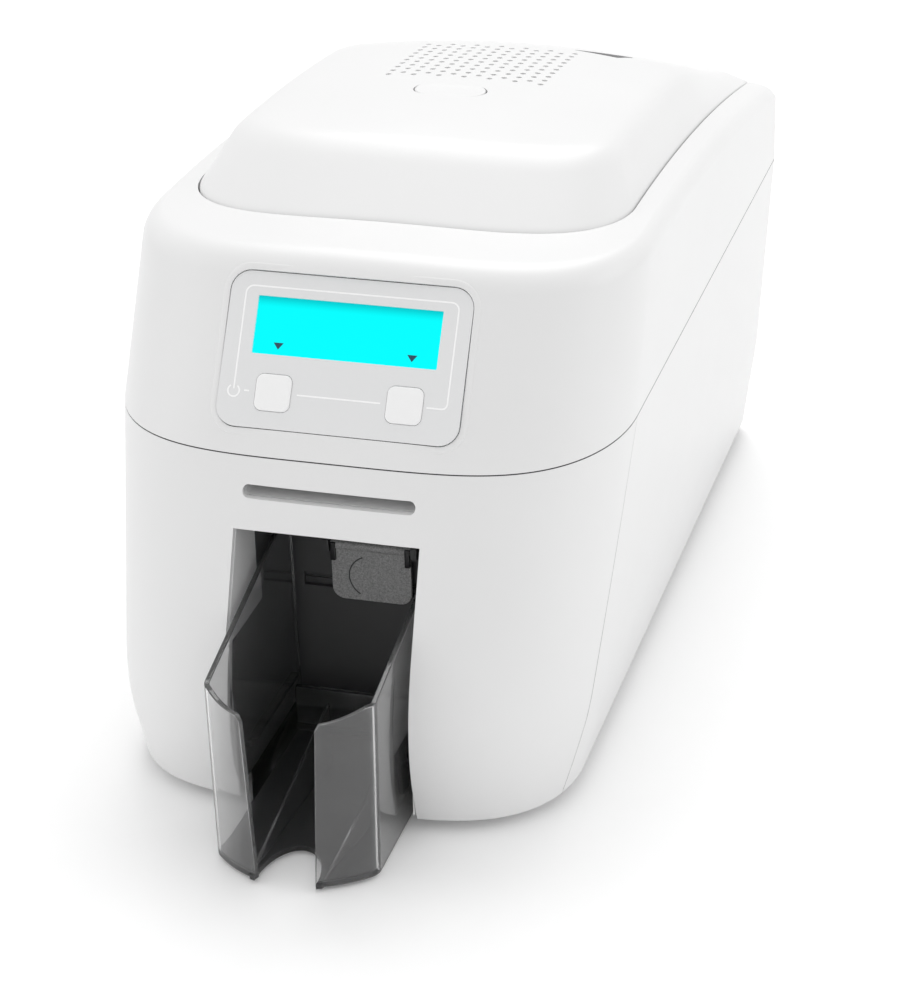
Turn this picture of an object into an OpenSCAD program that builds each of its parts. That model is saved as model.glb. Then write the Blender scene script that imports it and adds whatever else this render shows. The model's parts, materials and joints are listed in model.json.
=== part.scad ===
// ID card printer: moulded case, hinged lid, display panel, card hopper and print engine.
// Millimetres. +Z is up, the front faces -Y, and the origin is the middle of the footprint.

/* [Case] */
// Width of the case over its flat sides
case_w = 206; // [196:1:230]
// Y of the back wall of the case
case_back = 222; // [214:1:240]
// Height of the case floor above the table, on the feet
base_z = 5; // [4:0.5:8]
// Height of the seam between lower case and upper cover
seam_z = 141.7; // [138:0.1:148]
// Wall thickness of the moulded covers
wall = 2.5; // [2:0.1:3.2]
// Width of the case at the side tuck edge
belly_w = 193; // [188:0.5:198]
// Width of the case at its base
base_w = 181; // [176:0.5:186]
// Height of the side tuck edge at the front corners
tuck_front_z = 37; // [32:0.5:44]
// Extra height of the side tuck edge towards the back
tuck_rise = 11; // [0:0.5:14]
// Open line between two covers
seam_gap = 0.4; // [0.3:0.05:0.8]

/* [Front outline] */
// Y of the front middle at the seam
seam_front = -146.2; // [-152:0.1:-142]
// Y where the front corner meets the flat side at the seam
seam_crease = -78.7; // [-90:0.1:-70]
// Y of the front middle at the fullest line of the fascia
belly_front = -184; // [-190:0.5:-178]
// Y of the corner crease at the fullest line
belly_crease = -110; // [-118:0.5:-102]
// Height of the fullest line in the middle of the front
belly_z = 46; // [40:0.5:54]
// Y of the front middle at the base
base_front = -171; // [-176:0.5:-165]
// Y of the corner crease at the base
base_crease = -118; // [-126:0.5:-112]
// Y of the kink in the seam between fascia and side
split_kink_y = -127; // [-132:0.5:-122]
// Height of the kink in the seam between fascia and side
split_kink_z = 38; // [34:0.5:42]
// Y where that seam meets the base
split_base_y = -139; // [-144:0.5:-132]
// Y of the front middle at the top edge of the cover
top_front = -109.2; // [-114:0.1:-104]
// Y of the corner crease at the top edge
top_crease = -48; // [-54:0.5:-42]

/* [Cover top] */
// Height of the top edge at its highest, on the flat side
top_z = 202.5; // [198:0.5:210]
// Y of the highest place of the top edge
top_peak = -60; // [-70:1:-50]
// Radius of the slow fall of the top towards the back
top_fall_r = 1305; // [1200:5:1600]
// Crown of the top across the width
top_crown = 5; // [3:0.5:7]
// Width of the bevel round the top, at the sides
bevel = 3.4; // [2:0.1:5]
// Depth of the rim round the lid opening
rim_depth = 6; // [5:0.5:9]

/* [Lid] */
// Width of the lid at its rim
lid_w = 179; // [170:1:182]
// Y of the front middle of the lid rim
lid_front = -70.5; // [-74:0.5:-66]
// Y where the lid's front corner meets its straight side
lid_crease = -25; // [-32:0.5:-18]
// Width of the lid over its raised top
crest_w = 156; // [146:1:164]
// Y of the front edge of the raised top
crest_front = -34; // [-40:0.5:-30]
// Y where the raised top's corner meets its side
crest_crease = -6; // [-14:0.5:0]
// Height of the raised top above the rim at the front
crest_rise = 20.5; // [16:0.5:22]
// Height of the raised top above the rim at the back
crest_rise_back = 5; // [4:0.5:9]
// Rounding of the raised top's edge
crest_round = 5; // [3:0.5:6]
// Gap round the lid
lid_gap = 0.6; // [0.4:0.05:1]
// Distance of the lid's back from the back wall
lid_back_inset = 3; // [2.5:0.1:4]
// Height of the lid's hinge axis
hinge_z = 176; // [174:0.5:178]
// Distance of the hinge axis from the back wall
hinge_inset = 12; // [11:0.5:14]
// Radius of the hinge pins
hinge_pin_r = 2; // [1.5:0.1:2.5]
// X of the inner end of each hinge knuckle
hinge_x = 57; // [50:1:60]

/* [Vents] */
// Pitch of the vent holes, both ways
vent_pitch = 5.5; // [5:0.1:7]
// Width of a vent hole
vent_d = 2.6; // [2:0.1:3.2]
// Rows of vent holes
vent_rows = 12; // [6:1:14]
// Pairs of columns of vent holes
vent_columns = 6; // [4:1:7]
// Y of the first row of vent holes
vent_y = 48; // [44:0.5:54]

/* [Release button] */
// Length of the oval lid button
release_l = 30; // [26:1:34]
// Width of the oval lid button
release_w = 14; // [12:0.5:16]
// Y of the middle of the oval lid button
release_y = 27; // [24:0.5:29]
// Travel of the oval lid button
release_travel = 2.5; // [1.5:0.1:3]

/* [Display panel] */
// Width of the display panel
panel_w = 96; // [90:1:104]
// Height of the display panel along its slope
panel_h = 60; // [56:1:64]
// Slope of the display panel from upright, in degrees
panel_tilt = 32; // [28:0.5:36]
// Height of the middle of the display panel
panel_z = 177.5; // [174:0.5:180]
// Thickness of the panel bezel
bezel_t = 2.4; // [2:0.1:3]
// How far the bezel face lies behind the front surface in the middle
panel_sink = 1; // [0.5:0.1:2]
// Corner radius of the display panel
panel_r = 8; // [5:0.5:11]
// Width of the display window
lcd_w = 73; // [66:0.5:76]
// Height of the display window
lcd_h = 22; // [18:0.5:24]
// Offset of the display window up from the panel middle
lcd_up = 9.6; // [8:0.1:11]
// Size of the square panel buttons
key_w = 14.2; // [12:0.1:15]
// Spacing of the two panel buttons
key_spacing = 52; // [48:0.5:58]
// Offset of the panel buttons down from the panel middle
key_down = 16.1; // [14:0.1:18]
// Travel of a panel button
key_travel = 1; // [0.5:0.1:1.5]
// Gap round a panel button
key_gap = 0.3; // [0.2:0.05:0.5]

/* [Front openings] */
// Length of the hand feed slot
slot_l = 68.6; // [62:0.2:72]
// Height of the hand feed slot
slot_h = 5; // [4.5:0.1:6]
// Height of the card path above the table
path_z = 129.4; // [127:0.1:131]
// Width of the hopper opening
bay_w = 74; // [73:0.5:80]
// Top of the hopper opening
bay_top = 115.9; // [110:0.1:118]
// Y of the back wall of the hopper bay
bay_back = -98; // [-104:0.5:-92]
// Wall of the bay liner
liner_t = 2; // [1.5:0.1:2.5]

/* [Hopper] */
// Width of the hopper over its side walls
hopper_w = 67; // [64:0.5:70]
// Wall of the hopper
hopper_t = 2.6; // [2:0.1:3]
// Height of the hopper's underside above the table
hopper_z = 1.6; // [1:0.1:3]
// Y of the hopper's front corners
hopper_front = -213.3; // [-216:0.1:-208]
// How far the front lips bow forward of the corners
lip_bow = 10; // [7:0.5:12]
// Height of the side walls at the front
hopper_front_z = 78; // [70:0.5:84]
// Height of the side walls inside the case
hopper_back_z = 104; // [98:0.5:108]
// Depth of the sloped part of the side walls
hopper_slope_l = 66; // [56:1:76]
// How much lower the lips' inner ends are than their corners
lip_drop = 4; // [2:0.5:6]
// Width of the finger gap between the front lips
lip_gap = 28; // [24:0.5:34]
// Gap between the hopper and the back wall of its bay
hopper_back_gap = 7.3; // [6.6:0.1:9]
// How far the hopper pulls out
hopper_travel = 90; // [60:1:100]

/* [Print engine] */
// Half the distance between the inner faces of the side frames
frame_x = 42; // [40:0.5:46]
// Thickness of the side frames
frame_t = 2; // [1.5:0.1:3]
// Height of the engine deck
deck_z = 80; // [76:0.5:84]
// Radius of the driven rollers
roller_r = 9; // [8:0.1:9.5]
// Radius of the pinch rollers
pinch_r = 5; // [4:0.1:6]
// Radius of the roller shafts
shaft_r = 3; // [2.5:0.1:3.5]
// Radial clearance of a shaft in its bore
running_fit = 0.05; // [0.03:0.01:0.09]
// Space between a driven and a pinch roller, for the card
card_t = 0.8; // [0.8:0.05:1]
// Teeth on each roller gear
gear_teeth = 24; // [24:4:24]
// Module of the gears
gear_module = 1; // [1:0.05:1]
// Width of the gears
gear_w = 5; // [4:0.5:7]
// Y of the first driven roller
train_y = -80; // [-82:0.5:-78]
// Radius of the supply film roll
supply_r = 18; // [14:0.5:19]
// Radius of the take-up film roll
takeup_r = 12; // [10:0.5:13]

/* [Feet] */
// Radius of a rubber foot
foot_r = 9; // [7:0.5:11]

/* [Hidden] */
$fn = 48;

white = "white";
pale_grey = "gainsboro";
mid_grey = "darkgray";
dark_grey = "dimgray";
black = "#222222";
steel = "silver";
over = 1; // how far a cutter runs past the surface it cuts
front_n = 24; // stretches of the front curve in one loft ring
side_n = 6; // points along each straight side in one loft ring
ring_n = 2 * (front_n + 1) + 2 * side_n;
back_round = 10; // depth of the rounded back corners
back_power = 8;
front_power = 4;
seat = 0.3; // gap between pieces that seat on each other

half_w = case_w / 2;
gear_pitch = gear_teeth * gear_module;
// Y of each gear of the train: rollers at the even places, idlers between them.
function train(k) = train_y + k * gear_pitch;
tuck_rise_l = 220; // distance over which the side tuck edge rises
lid_back = case_back - lid_back_inset;
hinge_y = case_back - hinge_inset;
floor_top = base_z + wall;

// ---- Loft helpers -------------------------------------------------------------------------
// A loft ring is a closed plan outline: front curve from right to left, left side, back, right side.
function bulge(x, w, power) = sqrt(max(0, 1 - pow(abs(x) / (w / 2), power)));
function front_xs(w) = [for (i = [0:front_n]) w / 2 * sin(90 - 180 * i / front_n)];
function plan(w, crease, front, back, rounding) = let (
        xs = front_xs(w),
        side_l = back - rounding - crease)
    concat(
        [for (x = xs) [x, crease - (crease - front) * bulge(x, w, front_power)]],
        [for (i = [1:side_n]) [-w / 2, crease + side_l * i / (side_n + 1)]],
        [for (i = [front_n:-1:0]) [xs[i], back - rounding + rounding * bulge(xs[i], w, back_power)]],
        [for (i = [side_n:-1:1]) [w / 2, crease + side_l * i / (side_n + 1)]]);

function ring_faces(rings, closed) = [
    for (j = [0:rings - (closed ? 1 : 2)], i = [0:ring_n - 1])
        let (next_i = (i + 1) % ring_n, low = j * ring_n, high = ((j + 1) % rings) * ring_n)
            each [[low + i, low + next_i, high + next_i], [low + i, high + next_i, high + i]]];
// A flat cap is a row of strips from the front curve to the back, with a fan over each straight side.
function cap_up(ring) = let (last = ring_n - 1, turn = 2 * front_n + 1 + side_n)
    [for (f = concat(
        [for (i = [1:front_n - 2]) each [[i, i + 1, turn - i - 1], [i, turn - i - 1, turn - i]]],
        [for (m = [turn - 1:last]) [1, m, (m + 1) % ring_n]],
        [for (m = [front_n:front_n + side_n + 1]) [front_n - 1, m, m + 1]]))
        [for (v = f) ring * ring_n + v]];
function flip_faces(faces) = [for (f = faces) [f[2], f[1], f[0]]];

// A curved cap is a grid: columns run from the front curve to the back, rows lie at the side points.
function grid_index(i, j, ring, inner) =
    j == 0 ? ring * ring_n + i
    : j == side_n + 1 ? ring * ring_n + 2 * front_n + 1 + side_n - i
    : i == 0 ? ring * ring_n + 2 * (front_n + 1) + 2 * side_n - j
    : i == front_n ? ring * ring_n + front_n + j
    : inner + (i - 1) * side_n + j - 1;
function grid_faces(ring, inner) = [
    for (i = [0:front_n - 1], j = [0:side_n])
        let (a = grid_index(i, j, ring, inner), b = grid_index(i + 1, j, ring, inner),
             c = grid_index(i + 1, j + 1, ring, inner), d = grid_index(i, j + 1, ring, inner))
            each [[a, b, c], [a, c, d]]];
function grid_inner(outline) = [
    for (i = [1:front_n - 1], j = [1:side_n])
        let (front = outline[i], back = outline[2 * front_n + 1 + side_n - i],
             side = outline[front_n + j])
            [front.x, front.y + (back.y - front.y)
                * (side.y - outline[front_n].y) / (outline[front_n + side_n + 1].y - outline[front_n].y)]];

// ---- Surfaces of the case -----------------------------------------------------------------
function edge_z(p) = top_z - pow(p.y - top_peak, 2) / (2 * top_fall_r)
    + top_crown * (1 - pow(p.x / half_w, 2));
function shoulder_z(p) = edge_z(p) + bevel;
function tuck_z(p) = p.y <= belly_crease
    ? belly_z + (tuck_front_z - belly_z) * pow(2 * p.x / belly_w, 2)
    : tuck_front_z + tuck_rise * min(1, (p.y - belly_crease) / tuck_rise_l);
function ease(t) = let (u = max(0, min(1, t))) u * u * (3 - 2 * u);
crest_fall_y = 105; // Y where the raised top starts to sink towards the back
crest_back_inset = 6; // how far the raised top's back lies inside the rim
crest_crown = 3.2; // extra crown of the raised top in its middle
crest_back = lid_back - crest_back_inset;
function crest_z(p) = shoulder_z(p)
    + crest_rise - (crest_rise - crest_rise_back) * ease((p.y - crest_fall_y) / (crest_back - crest_fall_y));
function lid_top_z(p) = crest_z(p) + crest_crown
    * max(0, 1 - pow(p.x / (crest_w / 2 - crest_round), 2))
    * max(0, 1 - pow((p.y - (crest_front + crest_back) / 2) / ((crest_back - crest_front) / 2 - crest_round), 4));

// ---- Small shapes -------------------------------------------------------------------------
corner_n = 8;
function rounded_outline(w, h, r) = [
    for (c = [[1, 1, 0], [-1, 1, 90], [-1, -1, 180], [1, -1, 270]], i = [0:corner_n])
        [c[0] * (w / 2 - r) + r * cos(c[2] + 90 * i / corner_n),
         c[1] * (h / 2 - r) + r * sin(c[2] + 90 * i / corner_n)]];
module rounded_plate(w, h, r, t) {
    linear_extrude(t) polygon(rounded_outline(w, h, r));
}
// A cylinder along X from x1 to x2.
module rod(x1, x2, y, z, r) {
    translate([x1, y, z]) rotate([0, 90, 0]) cylinder(h = x2 - x1, r = r);
}
// A slab along X whose outline is given in Y and Z.
module slab(x1, x2, outline) {
    translate([x1, 0, 0]) rotate([90, 0, 90]) linear_extrude(x2 - x1) polygon(outline);
}
module box(low, high) {
    translate(low) cube(high - low);
}

// ---- Lower case and fascia ----------------------------------------------------------------
module case_bucket() {
    rings = [
        [for (p = plan(base_w, base_crease, base_front, case_back, back_round))
            [p.x, p.y, base_z]],
        [for (p = plan(belly_w, belly_crease, belly_front, case_back, back_round)) [p.x, p.y, tuck_z(p)]],
        [for (p = plan(case_w, seam_crease, seam_front, case_back, back_round)) [p.x, p.y, seam_z]],
        [for (p = plan(case_w - 2 * wall, seam_crease, seam_front + wall, case_back - wall, back_round))
            [p.x, p.y, seam_z]],
        [for (p = plan(belly_w - 2 * wall, belly_crease, belly_front + wall, case_back - wall, back_round))
            [p.x, p.y, tuck_z(p)]],
        [for (p = plan(base_w - 2 * wall, base_crease, base_front + wall,
                case_back - wall, back_round)) [p.x, p.y, floor_top]]];
    polyhedron(points = [for (r = rings) each r],
        faces = concat(ring_faces(len(rings), false), flip_faces(cap_up(0)), cap_up(len(rings) - 1)));
}

// Everything in front of the slanting seam between lower case and fascia, moved back by shift.
split_slope = (seam_crease - split_kink_y) / (seam_z - split_kink_z);
module front_zone(shift) {
    front_limit = belly_front - 20;
    slab(-half_w - over, half_w + over, [
        [front_limit, base_z - over],
        [split_base_y + shift, base_z - over],
        [split_kink_y + shift, split_kink_z],
        [seam_crease + split_slope * over + shift, seam_z + over],
        [front_limit, seam_z + over]]);
}
module bay_space() {
    box([-bay_w / 2, belly_front - 20, -over], [bay_w / 2, bay_back, bay_top]);
}

post_r = 6;
post_x = 58;
post_ys = [-50, 140];
rear_panel_w = 110;
rear_panel_h = 34;
rear_panel_z = 14;
board_z = floor_top + 6;
board_w = 100;
board_l = 90;
board_t = 1.6;
board_back = case_back - wall - 2;
standoff_r = 3;
standoff_inset = 6;
foot_x = 70;
foot_ys = [-105, 190];
vent_slot_h = 3;
vent_slot_l = 60;
vent_slot_n = 6;

module lower_case() {
    color(white) difference() {
        union() {
            difference() {
                case_bucket();
                front_zone(seam_gap);
                bay_space();
                box([-rear_panel_w / 2 - seat, case_back - wall - over, rear_panel_z - seat],
                    [rear_panel_w / 2 + seat, case_back + over, rear_panel_z + rear_panel_h + seat]);
                // Cooling slots in the back wall
                for (i = [0:vent_slot_n - 1])
                    box([-vent_slot_l / 2, case_back - wall - over, 70 + 2 * i * vent_slot_h],
                        [vent_slot_l / 2, case_back + over, 70 + (2 * i + 1) * vent_slot_h]);
            }
            for (x = [-post_x, post_x], y = post_ys)
                translate([x, y, base_z + wall / 2]) cylinder(h = deck_z - base_z - wall / 2, r = post_r);
            for (x = [-1, 1], y = [board_back - board_l + standoff_inset, board_back - standoff_inset])
                translate([x * (board_w / 2 - standoff_inset), y, base_z + wall / 2])
                    cylinder(h = board_z - base_z - wall / 2, r = standoff_r);
        }
        for (x = [-post_x, post_x], y = post_ys)
            translate([x, y, deck_z - screw_l]) cylinder(h = screw_l + over, r = screw_r + running_fit);
    }
}

module slot_hole() {
    translate([0, 0, path_z]) rotate([90, 0, 0]) rounded_plate(slot_l, slot_h, slot_h / 2 - 0.01, -belly_front + 20);
}
module front_fascia() {
    color(white) difference() {
        intersection() {
            case_bucket();
            front_zone(0);
        }
        bay_space();
        slot_hole();
    }
}

// ---- Bay behind the hopper opening --------------------------------------------------------
liner_front_gap = wall + 1;
ledge_w = 2;
rail_z = 24;
rail_t = 2;
ledge_front = -160;
flap_w = 33.2;
flap_h = 24;
flap_z = 84;
flap_t = 1.6;
flap_y = bay_back - 3.5;
flap_pin_r = 1;
ear_w = 2.5;
ear_gap = 0.4;
exit_w = 60;
exit_low = 62;
exit_high = 68;
module bay_liner() {
    side = [[bay_back + liner_t, floor_top + seat], [bay_back + liner_t, bay_top + liner_t],
        [seam_front + 14, bay_top + liner_t],
        [belly_front + liner_front_gap + 8, belly_z + 12], [base_front + liner_front_gap + 8, floor_top + seat]];
    color(pale_grey) difference() {
        union() {
            for (s = [-1, 1]) {
                inner = bay_w / 2 * s;
                slab(min(inner, inner + s * liner_t), max(inner, inner + s * liner_t), side);
                box([s > 0 ? bay_w / 2 - ledge_w : -bay_w / 2 - over / 2, ledge_front, rail_z - seat - rail_t],
                    [s > 0 ? bay_w / 2 + over / 2 : -bay_w / 2 + ledge_w, bay_back + over / 2, rail_z - seat]);
            }
            box([-bay_w / 2 - over, bay_back, floor_top + seat], [bay_w / 2 + over, bay_back + liner_t, bay_top + over]);
            box([-bay_w / 2 - over, seam_front + 14, bay_top], [bay_w / 2 + over, bay_back + liner_t, bay_top + liner_t]);
            // Ears that carry the flap's pin
            for (x = [-flap_w / 2 - ear_gap - ear_w, flap_w / 2 + ear_gap])
                slab(x, x + ear_w, [[bay_back + over / 2, flap_z - 4], [bay_back + over / 2, flap_z + 4],
                    [flap_y - 2.5, flap_z + 2.5], [flap_y - 2.5, flap_z - 2.5]]);
        }
        box([-exit_w / 2, bay_back - over, exit_low], [exit_w / 2, bay_back + liner_t + over, exit_high]);
        rod(-flap_w, flap_w, flap_y, flap_z, flap_pin_r);
    }
}
module exit_flap() {
    color(mid_grey) difference() {
        union() {
            box([-flap_w / 2, flap_y - flap_t / 2, flap_z - flap_h], [flap_w / 2, flap_y + flap_t / 2, flap_z]);
            rod(-flap_w / 2, flap_w / 2, flap_y, flap_z, flap_pin_r + 1);
        }
        rod(-flap_w / 2 - over, flap_w / 2 + over, flap_y, flap_z, flap_pin_r + running_fit);
    }
}
module flap_pin() {
    pin_half = flap_w / 2 + ear_gap + ear_w;
    color(black) rod(-pin_half, pin_half, flap_y, flap_z, flap_pin_r);
}

// ---- Card hopper --------------------------------------------------------------------------
hopper_back = bay_back - hopper_back_gap;
hopper_l = hopper_back - hopper_front;
lip_r = (pow(hopper_w / 2, 2) + pow(lip_bow, 2)) / (2 * lip_bow);
lip_y = hopper_front - lip_bow + lip_r; // centre of the lips' bow
notch_r = lip_gap / 2 - 1;
notch_y = hopper_front - 4;
hopper_draft = 1.4; // how much nearer the middle each side wall stands at its foot
ramp_l = 62;
ramp_h = 40;
ramp_t = 1.6;
rail_reach = bay_w / 2 - 0.8; // X of the rails' outer edges
divider_z = 52;
divider_y = hopper_back - 10;
hopper_foot = hopper_w / 2 - hopper_draft - 0.2;
module hopper_sides() {
    slope_end = hopper_front + hopper_slope_l;
    color(dark_grey) for (s = [-1, 1]) {
        outer = s * hopper_w / 2;
        intersection() {
            slab(-hopper_w, hopper_w, [
                [hopper_front, hopper_z], [hopper_back, hopper_z], [hopper_back, hopper_back_z],
                [slope_end, hopper_back_z], [hopper_front, hopper_front_z]]);
            translate([0, hopper_back + over, 0]) rotate([90, 0, 0]) linear_extrude(hopper_l + 2 * over)
                polygon([[outer - s * hopper_draft, hopper_z], [outer, hopper_back_z],
                    [outer - s * hopper_t, hopper_back_z], [outer - s * (hopper_t + hopper_draft), hopper_z]]);
        }
        // Rail that hangs on the liner's ledge
        box([min(s * (hopper_w / 2 - hopper_t), s * rail_reach), ledge_front + 2, rail_z],
            [max(s * (hopper_w / 2 - hopper_t), s * rail_reach), hopper_back - 2, rail_z + rail_t]);
        // Triangular ramp rib along the inside of the wall
        rib = s * (hopper_w / 2 - hopper_t - 7);
        slab(min(rib, rib - s * ramp_t), max(rib, rib - s * ramp_t), [
            [divider_y - ramp_l, hopper_z + over], [divider_y + over / 2, hopper_z + over],
            [divider_y + over / 2, hopper_z + ramp_h]]);
    }
}
module card_hopper() {
    color([0.25, 0.25, 0.26, 0.6]) {
        hopper_sides();
        // Floor with the bowed front edge and the finger notch
        difference() {
            union() {
                box([-hopper_foot, hopper_front, hopper_z], [hopper_foot, hopper_back, hopper_z + hopper_t]);
                intersection() {
                    translate([0, lip_y, hopper_z]) cylinder(h = hopper_t, r = lip_r, $fn = 96);
                    box([-hopper_foot, hopper_front - lip_bow - over, hopper_z], [hopper_foot, hopper_front + over, hopper_z + hopper_t]);
                }
            }
            translate([0, notch_y, hopper_z - over]) cylinder(h = hopper_t + 2 * over, r = notch_r);
            box([-notch_r, hopper_front - lip_bow - over, hopper_z - over], [notch_r, notch_y, hopper_z + hopper_t + over]);
        }
        // Bowed front lips on both sides of the finger gap
        intersection() {
            difference() {
                translate([0, lip_y, hopper_z]) cylinder(h = hopper_front_z - hopper_z, r = lip_r, $fn = 96);
                translate([0, lip_y, hopper_z - over]) cylinder(h = hopper_front_z, r = lip_r - hopper_t, $fn = 96);
            }
            for (s = [-1, 1])
                translate([0, hopper_front + 3 * hopper_t, 0]) rotate([90, 0, 0])
                    linear_extrude(lip_bow + 3 * hopper_t + over)
                        polygon([[s * lip_gap / 2, hopper_z], [s * (hopper_w / 2 - hopper_draft - 0.1), hopper_z],
                            [s * (hopper_w / 2 - 0.5), hopper_front_z], [s * (lip_gap / 2 + 5), hopper_front_z - lip_drop / 2],
                            [s * (lip_gap / 2 + 1.5), hopper_front_z - lip_drop], [s * lip_gap / 2, hopper_front_z - 2 * lip_drop]]);
        }
        box([-hopper_foot, divider_y, hopper_z], [hopper_foot, divider_y + hopper_t, divider_z]);
    }
}

// ---- Upper cover --------------------------------------------------------------------------
cover_seam = seam_z + seam_gap;
lid_open_back = case_back - 14;
back_cut_z = 168; // top of the back wall under the lid's back skirt
back_cut_y = hinge_y - 15;
hinge_bracket_t = 4.5;
hinge_bracket_r = 3.6; // the lid's skin passes close behind the brackets
knuckle_w = 10;
knuckle_r = 5.5;
hinge_side_gap = 0.5;
bracket_reach = hinge_x + knuckle_w + hinge_side_gap + hinge_bracket_t;
module cover_shell() {
    open_w = lid_w + 2 * lid_gap;
    opening = plan(open_w, lid_crease, lid_front - lid_gap, lid_open_back, back_round / 2);
    rings = [
        [for (p = plan(case_w, seam_crease, seam_front, case_back, back_round)) [p.x, p.y, cover_seam]],
        [for (p = plan(case_w, top_crease, top_front, case_back, back_round)) [p.x, p.y, edge_z(p)]],
        [for (p = plan(case_w - 2 * bevel, top_crease, top_front + bevel * 1.3, case_back - bevel, back_round))
            [p.x, p.y, shoulder_z(p)]],
        [for (p = opening) [p.x, p.y, shoulder_z(p)]],
        [for (p = opening) [p.x, p.y, shoulder_z(p) - rim_depth]],
        [for (p = plan(case_w - 2 * wall, top_crease, top_front + wall, case_back - wall, back_round))
            [p.x, p.y, edge_z(p) - 2 * wall]],
        [for (p = plan(case_w - 2 * wall, seam_crease, seam_front + wall, case_back - wall, back_round))
            [p.x, p.y, cover_seam]]];
    polyhedron(points = [for (r = rings) each r], faces = ring_faces(len(rings), true));
}
panel_y = seam_front + (top_front - seam_front) * (panel_z - seam_z) / (edge_z([0, top_front]) - seam_z);
// Places things on the sloping panel: X across, Y up the slope, Z out of the face.
module on_panel() {
    translate([0, panel_y, panel_z]) rotate([90 - panel_tilt, 0, 0]) children();
}
module hinge_bracket(x) {
    slab(x, x + hinge_bracket_t, [
        [case_back - wall - 0.1, 150], [case_back - wall - 0.1, 157], [hinge_y - 4, 160],
        [hinge_y - 7, 165], [hinge_y + 1, hinge_z - hinge_bracket_r + 0.1], [hinge_y, hinge_z],
        [hinge_y - hinge_bracket_r + 0.1, hinge_z + 1], [hinge_y - 13, 166], [hinge_y - 13, 152]]);
    rod(x, x + hinge_bracket_t, hinge_y, hinge_z, hinge_bracket_r);
}
module upper_cover() {
    color(white) difference() {
        union() {
            difference() {
                cover_shell();
                box([-lid_w / 2 - lid_gap, back_cut_y, back_cut_z], [lid_w / 2 + lid_gap, case_back + over, shoulder_z([0, 0]) + over]);
            }
            for (s = [-1, 1])
                hinge_bracket(s > 0 ? hinge_x + knuckle_w + hinge_side_gap : -hinge_x - knuckle_w - hinge_side_gap - hinge_bracket_t);
        }
        on_panel() translate([0, 0, -16]) rounded_plate(panel_w + 2 * seat, panel_h + 2 * seat, panel_r + seat, 16 + 6);
        rod(-bracket_reach, bracket_reach, hinge_y, hinge_z, hinge_pin_r + 0.02);
    }
}
module hinge_pins() {
    pin_l = knuckle_w + hinge_side_gap + hinge_bracket_t;
    color(steel) for (x = [hinge_x, -hinge_x - pin_l]) rod(x, x + pin_l, hinge_y, hinge_z, hinge_pin_r);
}

// ---- Display panel ------------------------------------------------------------------------
key_x = key_spacing / 2;
key_r = 3;
key_proud = 0.8;
key_l = 6;
lcd_l = 7.4;
lcd_sink = 0.5;
panel_board_gap = 8.2;
module display_bezel() {
    color(pale_grey) on_panel() translate([0, 0, -panel_sink - bezel_t]) difference() {
        rounded_plate(panel_w, panel_h, panel_r, bezel_t);
        translate([0, lcd_up, -over]) rounded_plate(lcd_w + 2 * seat, lcd_h + 2 * seat, 1, bezel_t + 2 * over);
        for (x = [-key_x, key_x])
            translate([x, -key_down, -over])
                rounded_plate(key_w + 2 * key_gap, key_w + 2 * key_gap, key_r + key_gap, bezel_t + 2 * over);
    }
}
module lcd_window() {
    color("cyan") on_panel() translate([0, lcd_up, -panel_sink - lcd_sink - lcd_l])
        rounded_plate(lcd_w, lcd_h, 0.8, lcd_l);
}
module display_board() {
    color("darkgreen") on_panel() translate([0, 0, -panel_sink - panel_board_gap - board_t])
        rounded_plate(panel_w - 8, panel_h - 8, 3, board_t);
}
module panel_key(x) {
    color(white) on_panel() translate([x, -key_down, -panel_sink + key_proud - key_l])
        rounded_plate(key_w, key_w, key_r, key_l);
}
module left_key() panel_key(-key_x);
module right_key() panel_key(key_x);

// ---- Lid ----------------------------------------------------------------------------------
arm_x = 27;
arm_y = train(4);
boss_r = 6;
boss_z = 212;
latch_y = 12;
latch_z = 206;
latch_pin_r = 1.5;
latch_half = 5;
latch_ear_t = 2;
latch_reach = latch_half + seat + latch_ear_t;
accent_at = [42, 119];
accent_t = 1.2;
accent_points = [[30, 119], [55, 124], [50, 115]];
// The accent's outline, grown about its middle.
module accent_outline(grow) {
    middle = (accent_points[0] + accent_points[1] + accent_points[2]) / 3;
    polygon([for (p = accent_points) middle + (p - middle) * (1 + grow)]);
}
function lid_rings(inset) = [
    [for (p = plan(lid_w - 2 * inset, lid_crease, lid_front + inset, lid_back - inset, back_round / 2))
        [p.x, p.y, shoulder_z(p) - rim_depth + 1]],
    [for (p = plan(lid_w - 2 * inset, lid_crease, lid_front + inset, lid_back - inset, back_round / 2))
        [p.x, p.y, shoulder_z(p) - inset / 2]],
    [for (p = plan(crest_w + 2 - 2 * inset, crest_crease, crest_front - 1 + inset, crest_back + 1 - inset, back_round))
        [p.x, p.y, crest_z(p) - crest_round * 0.6 - inset]],
    [for (p = plan(crest_w - 2 - 2 * inset, crest_crease, crest_front + 1 + inset, crest_back - 1 - inset, back_round))
        [p.x, p.y, crest_z(p) - crest_round * 0.2 - inset]],
    [for (p = plan(crest_w - 2 * crest_round - 2 * inset, crest_crease, crest_front + crest_round + inset,
            crest_back - crest_round - inset, back_round)) [p.x, p.y, crest_z(p) - inset]]];
module lid_shell() {
    outer = lid_rings(0);
    inner = lid_rings(wall);
    rings = concat([for (i = [len(inner) - 1:-1:0]) inner[i]], outer);
    last = len(rings) - 1;
    outer_grid = [for (p = grid_inner(rings[last])) [p.x, p.y, lid_top_z(p)]];
    inner_grid = [for (p = grid_inner(rings[0])) [p.x, p.y, lid_top_z(p) - wall]];
    grid_start = len(rings) * ring_n;
    polyhedron(points = concat([for (r = rings) each r], outer_grid, inner_grid),
        faces = concat(ring_faces(len(rings), false), grid_faces(last, grid_start),
            flip_faces(grid_faces(0, grid_start + len(outer_grid)))));
}
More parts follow.
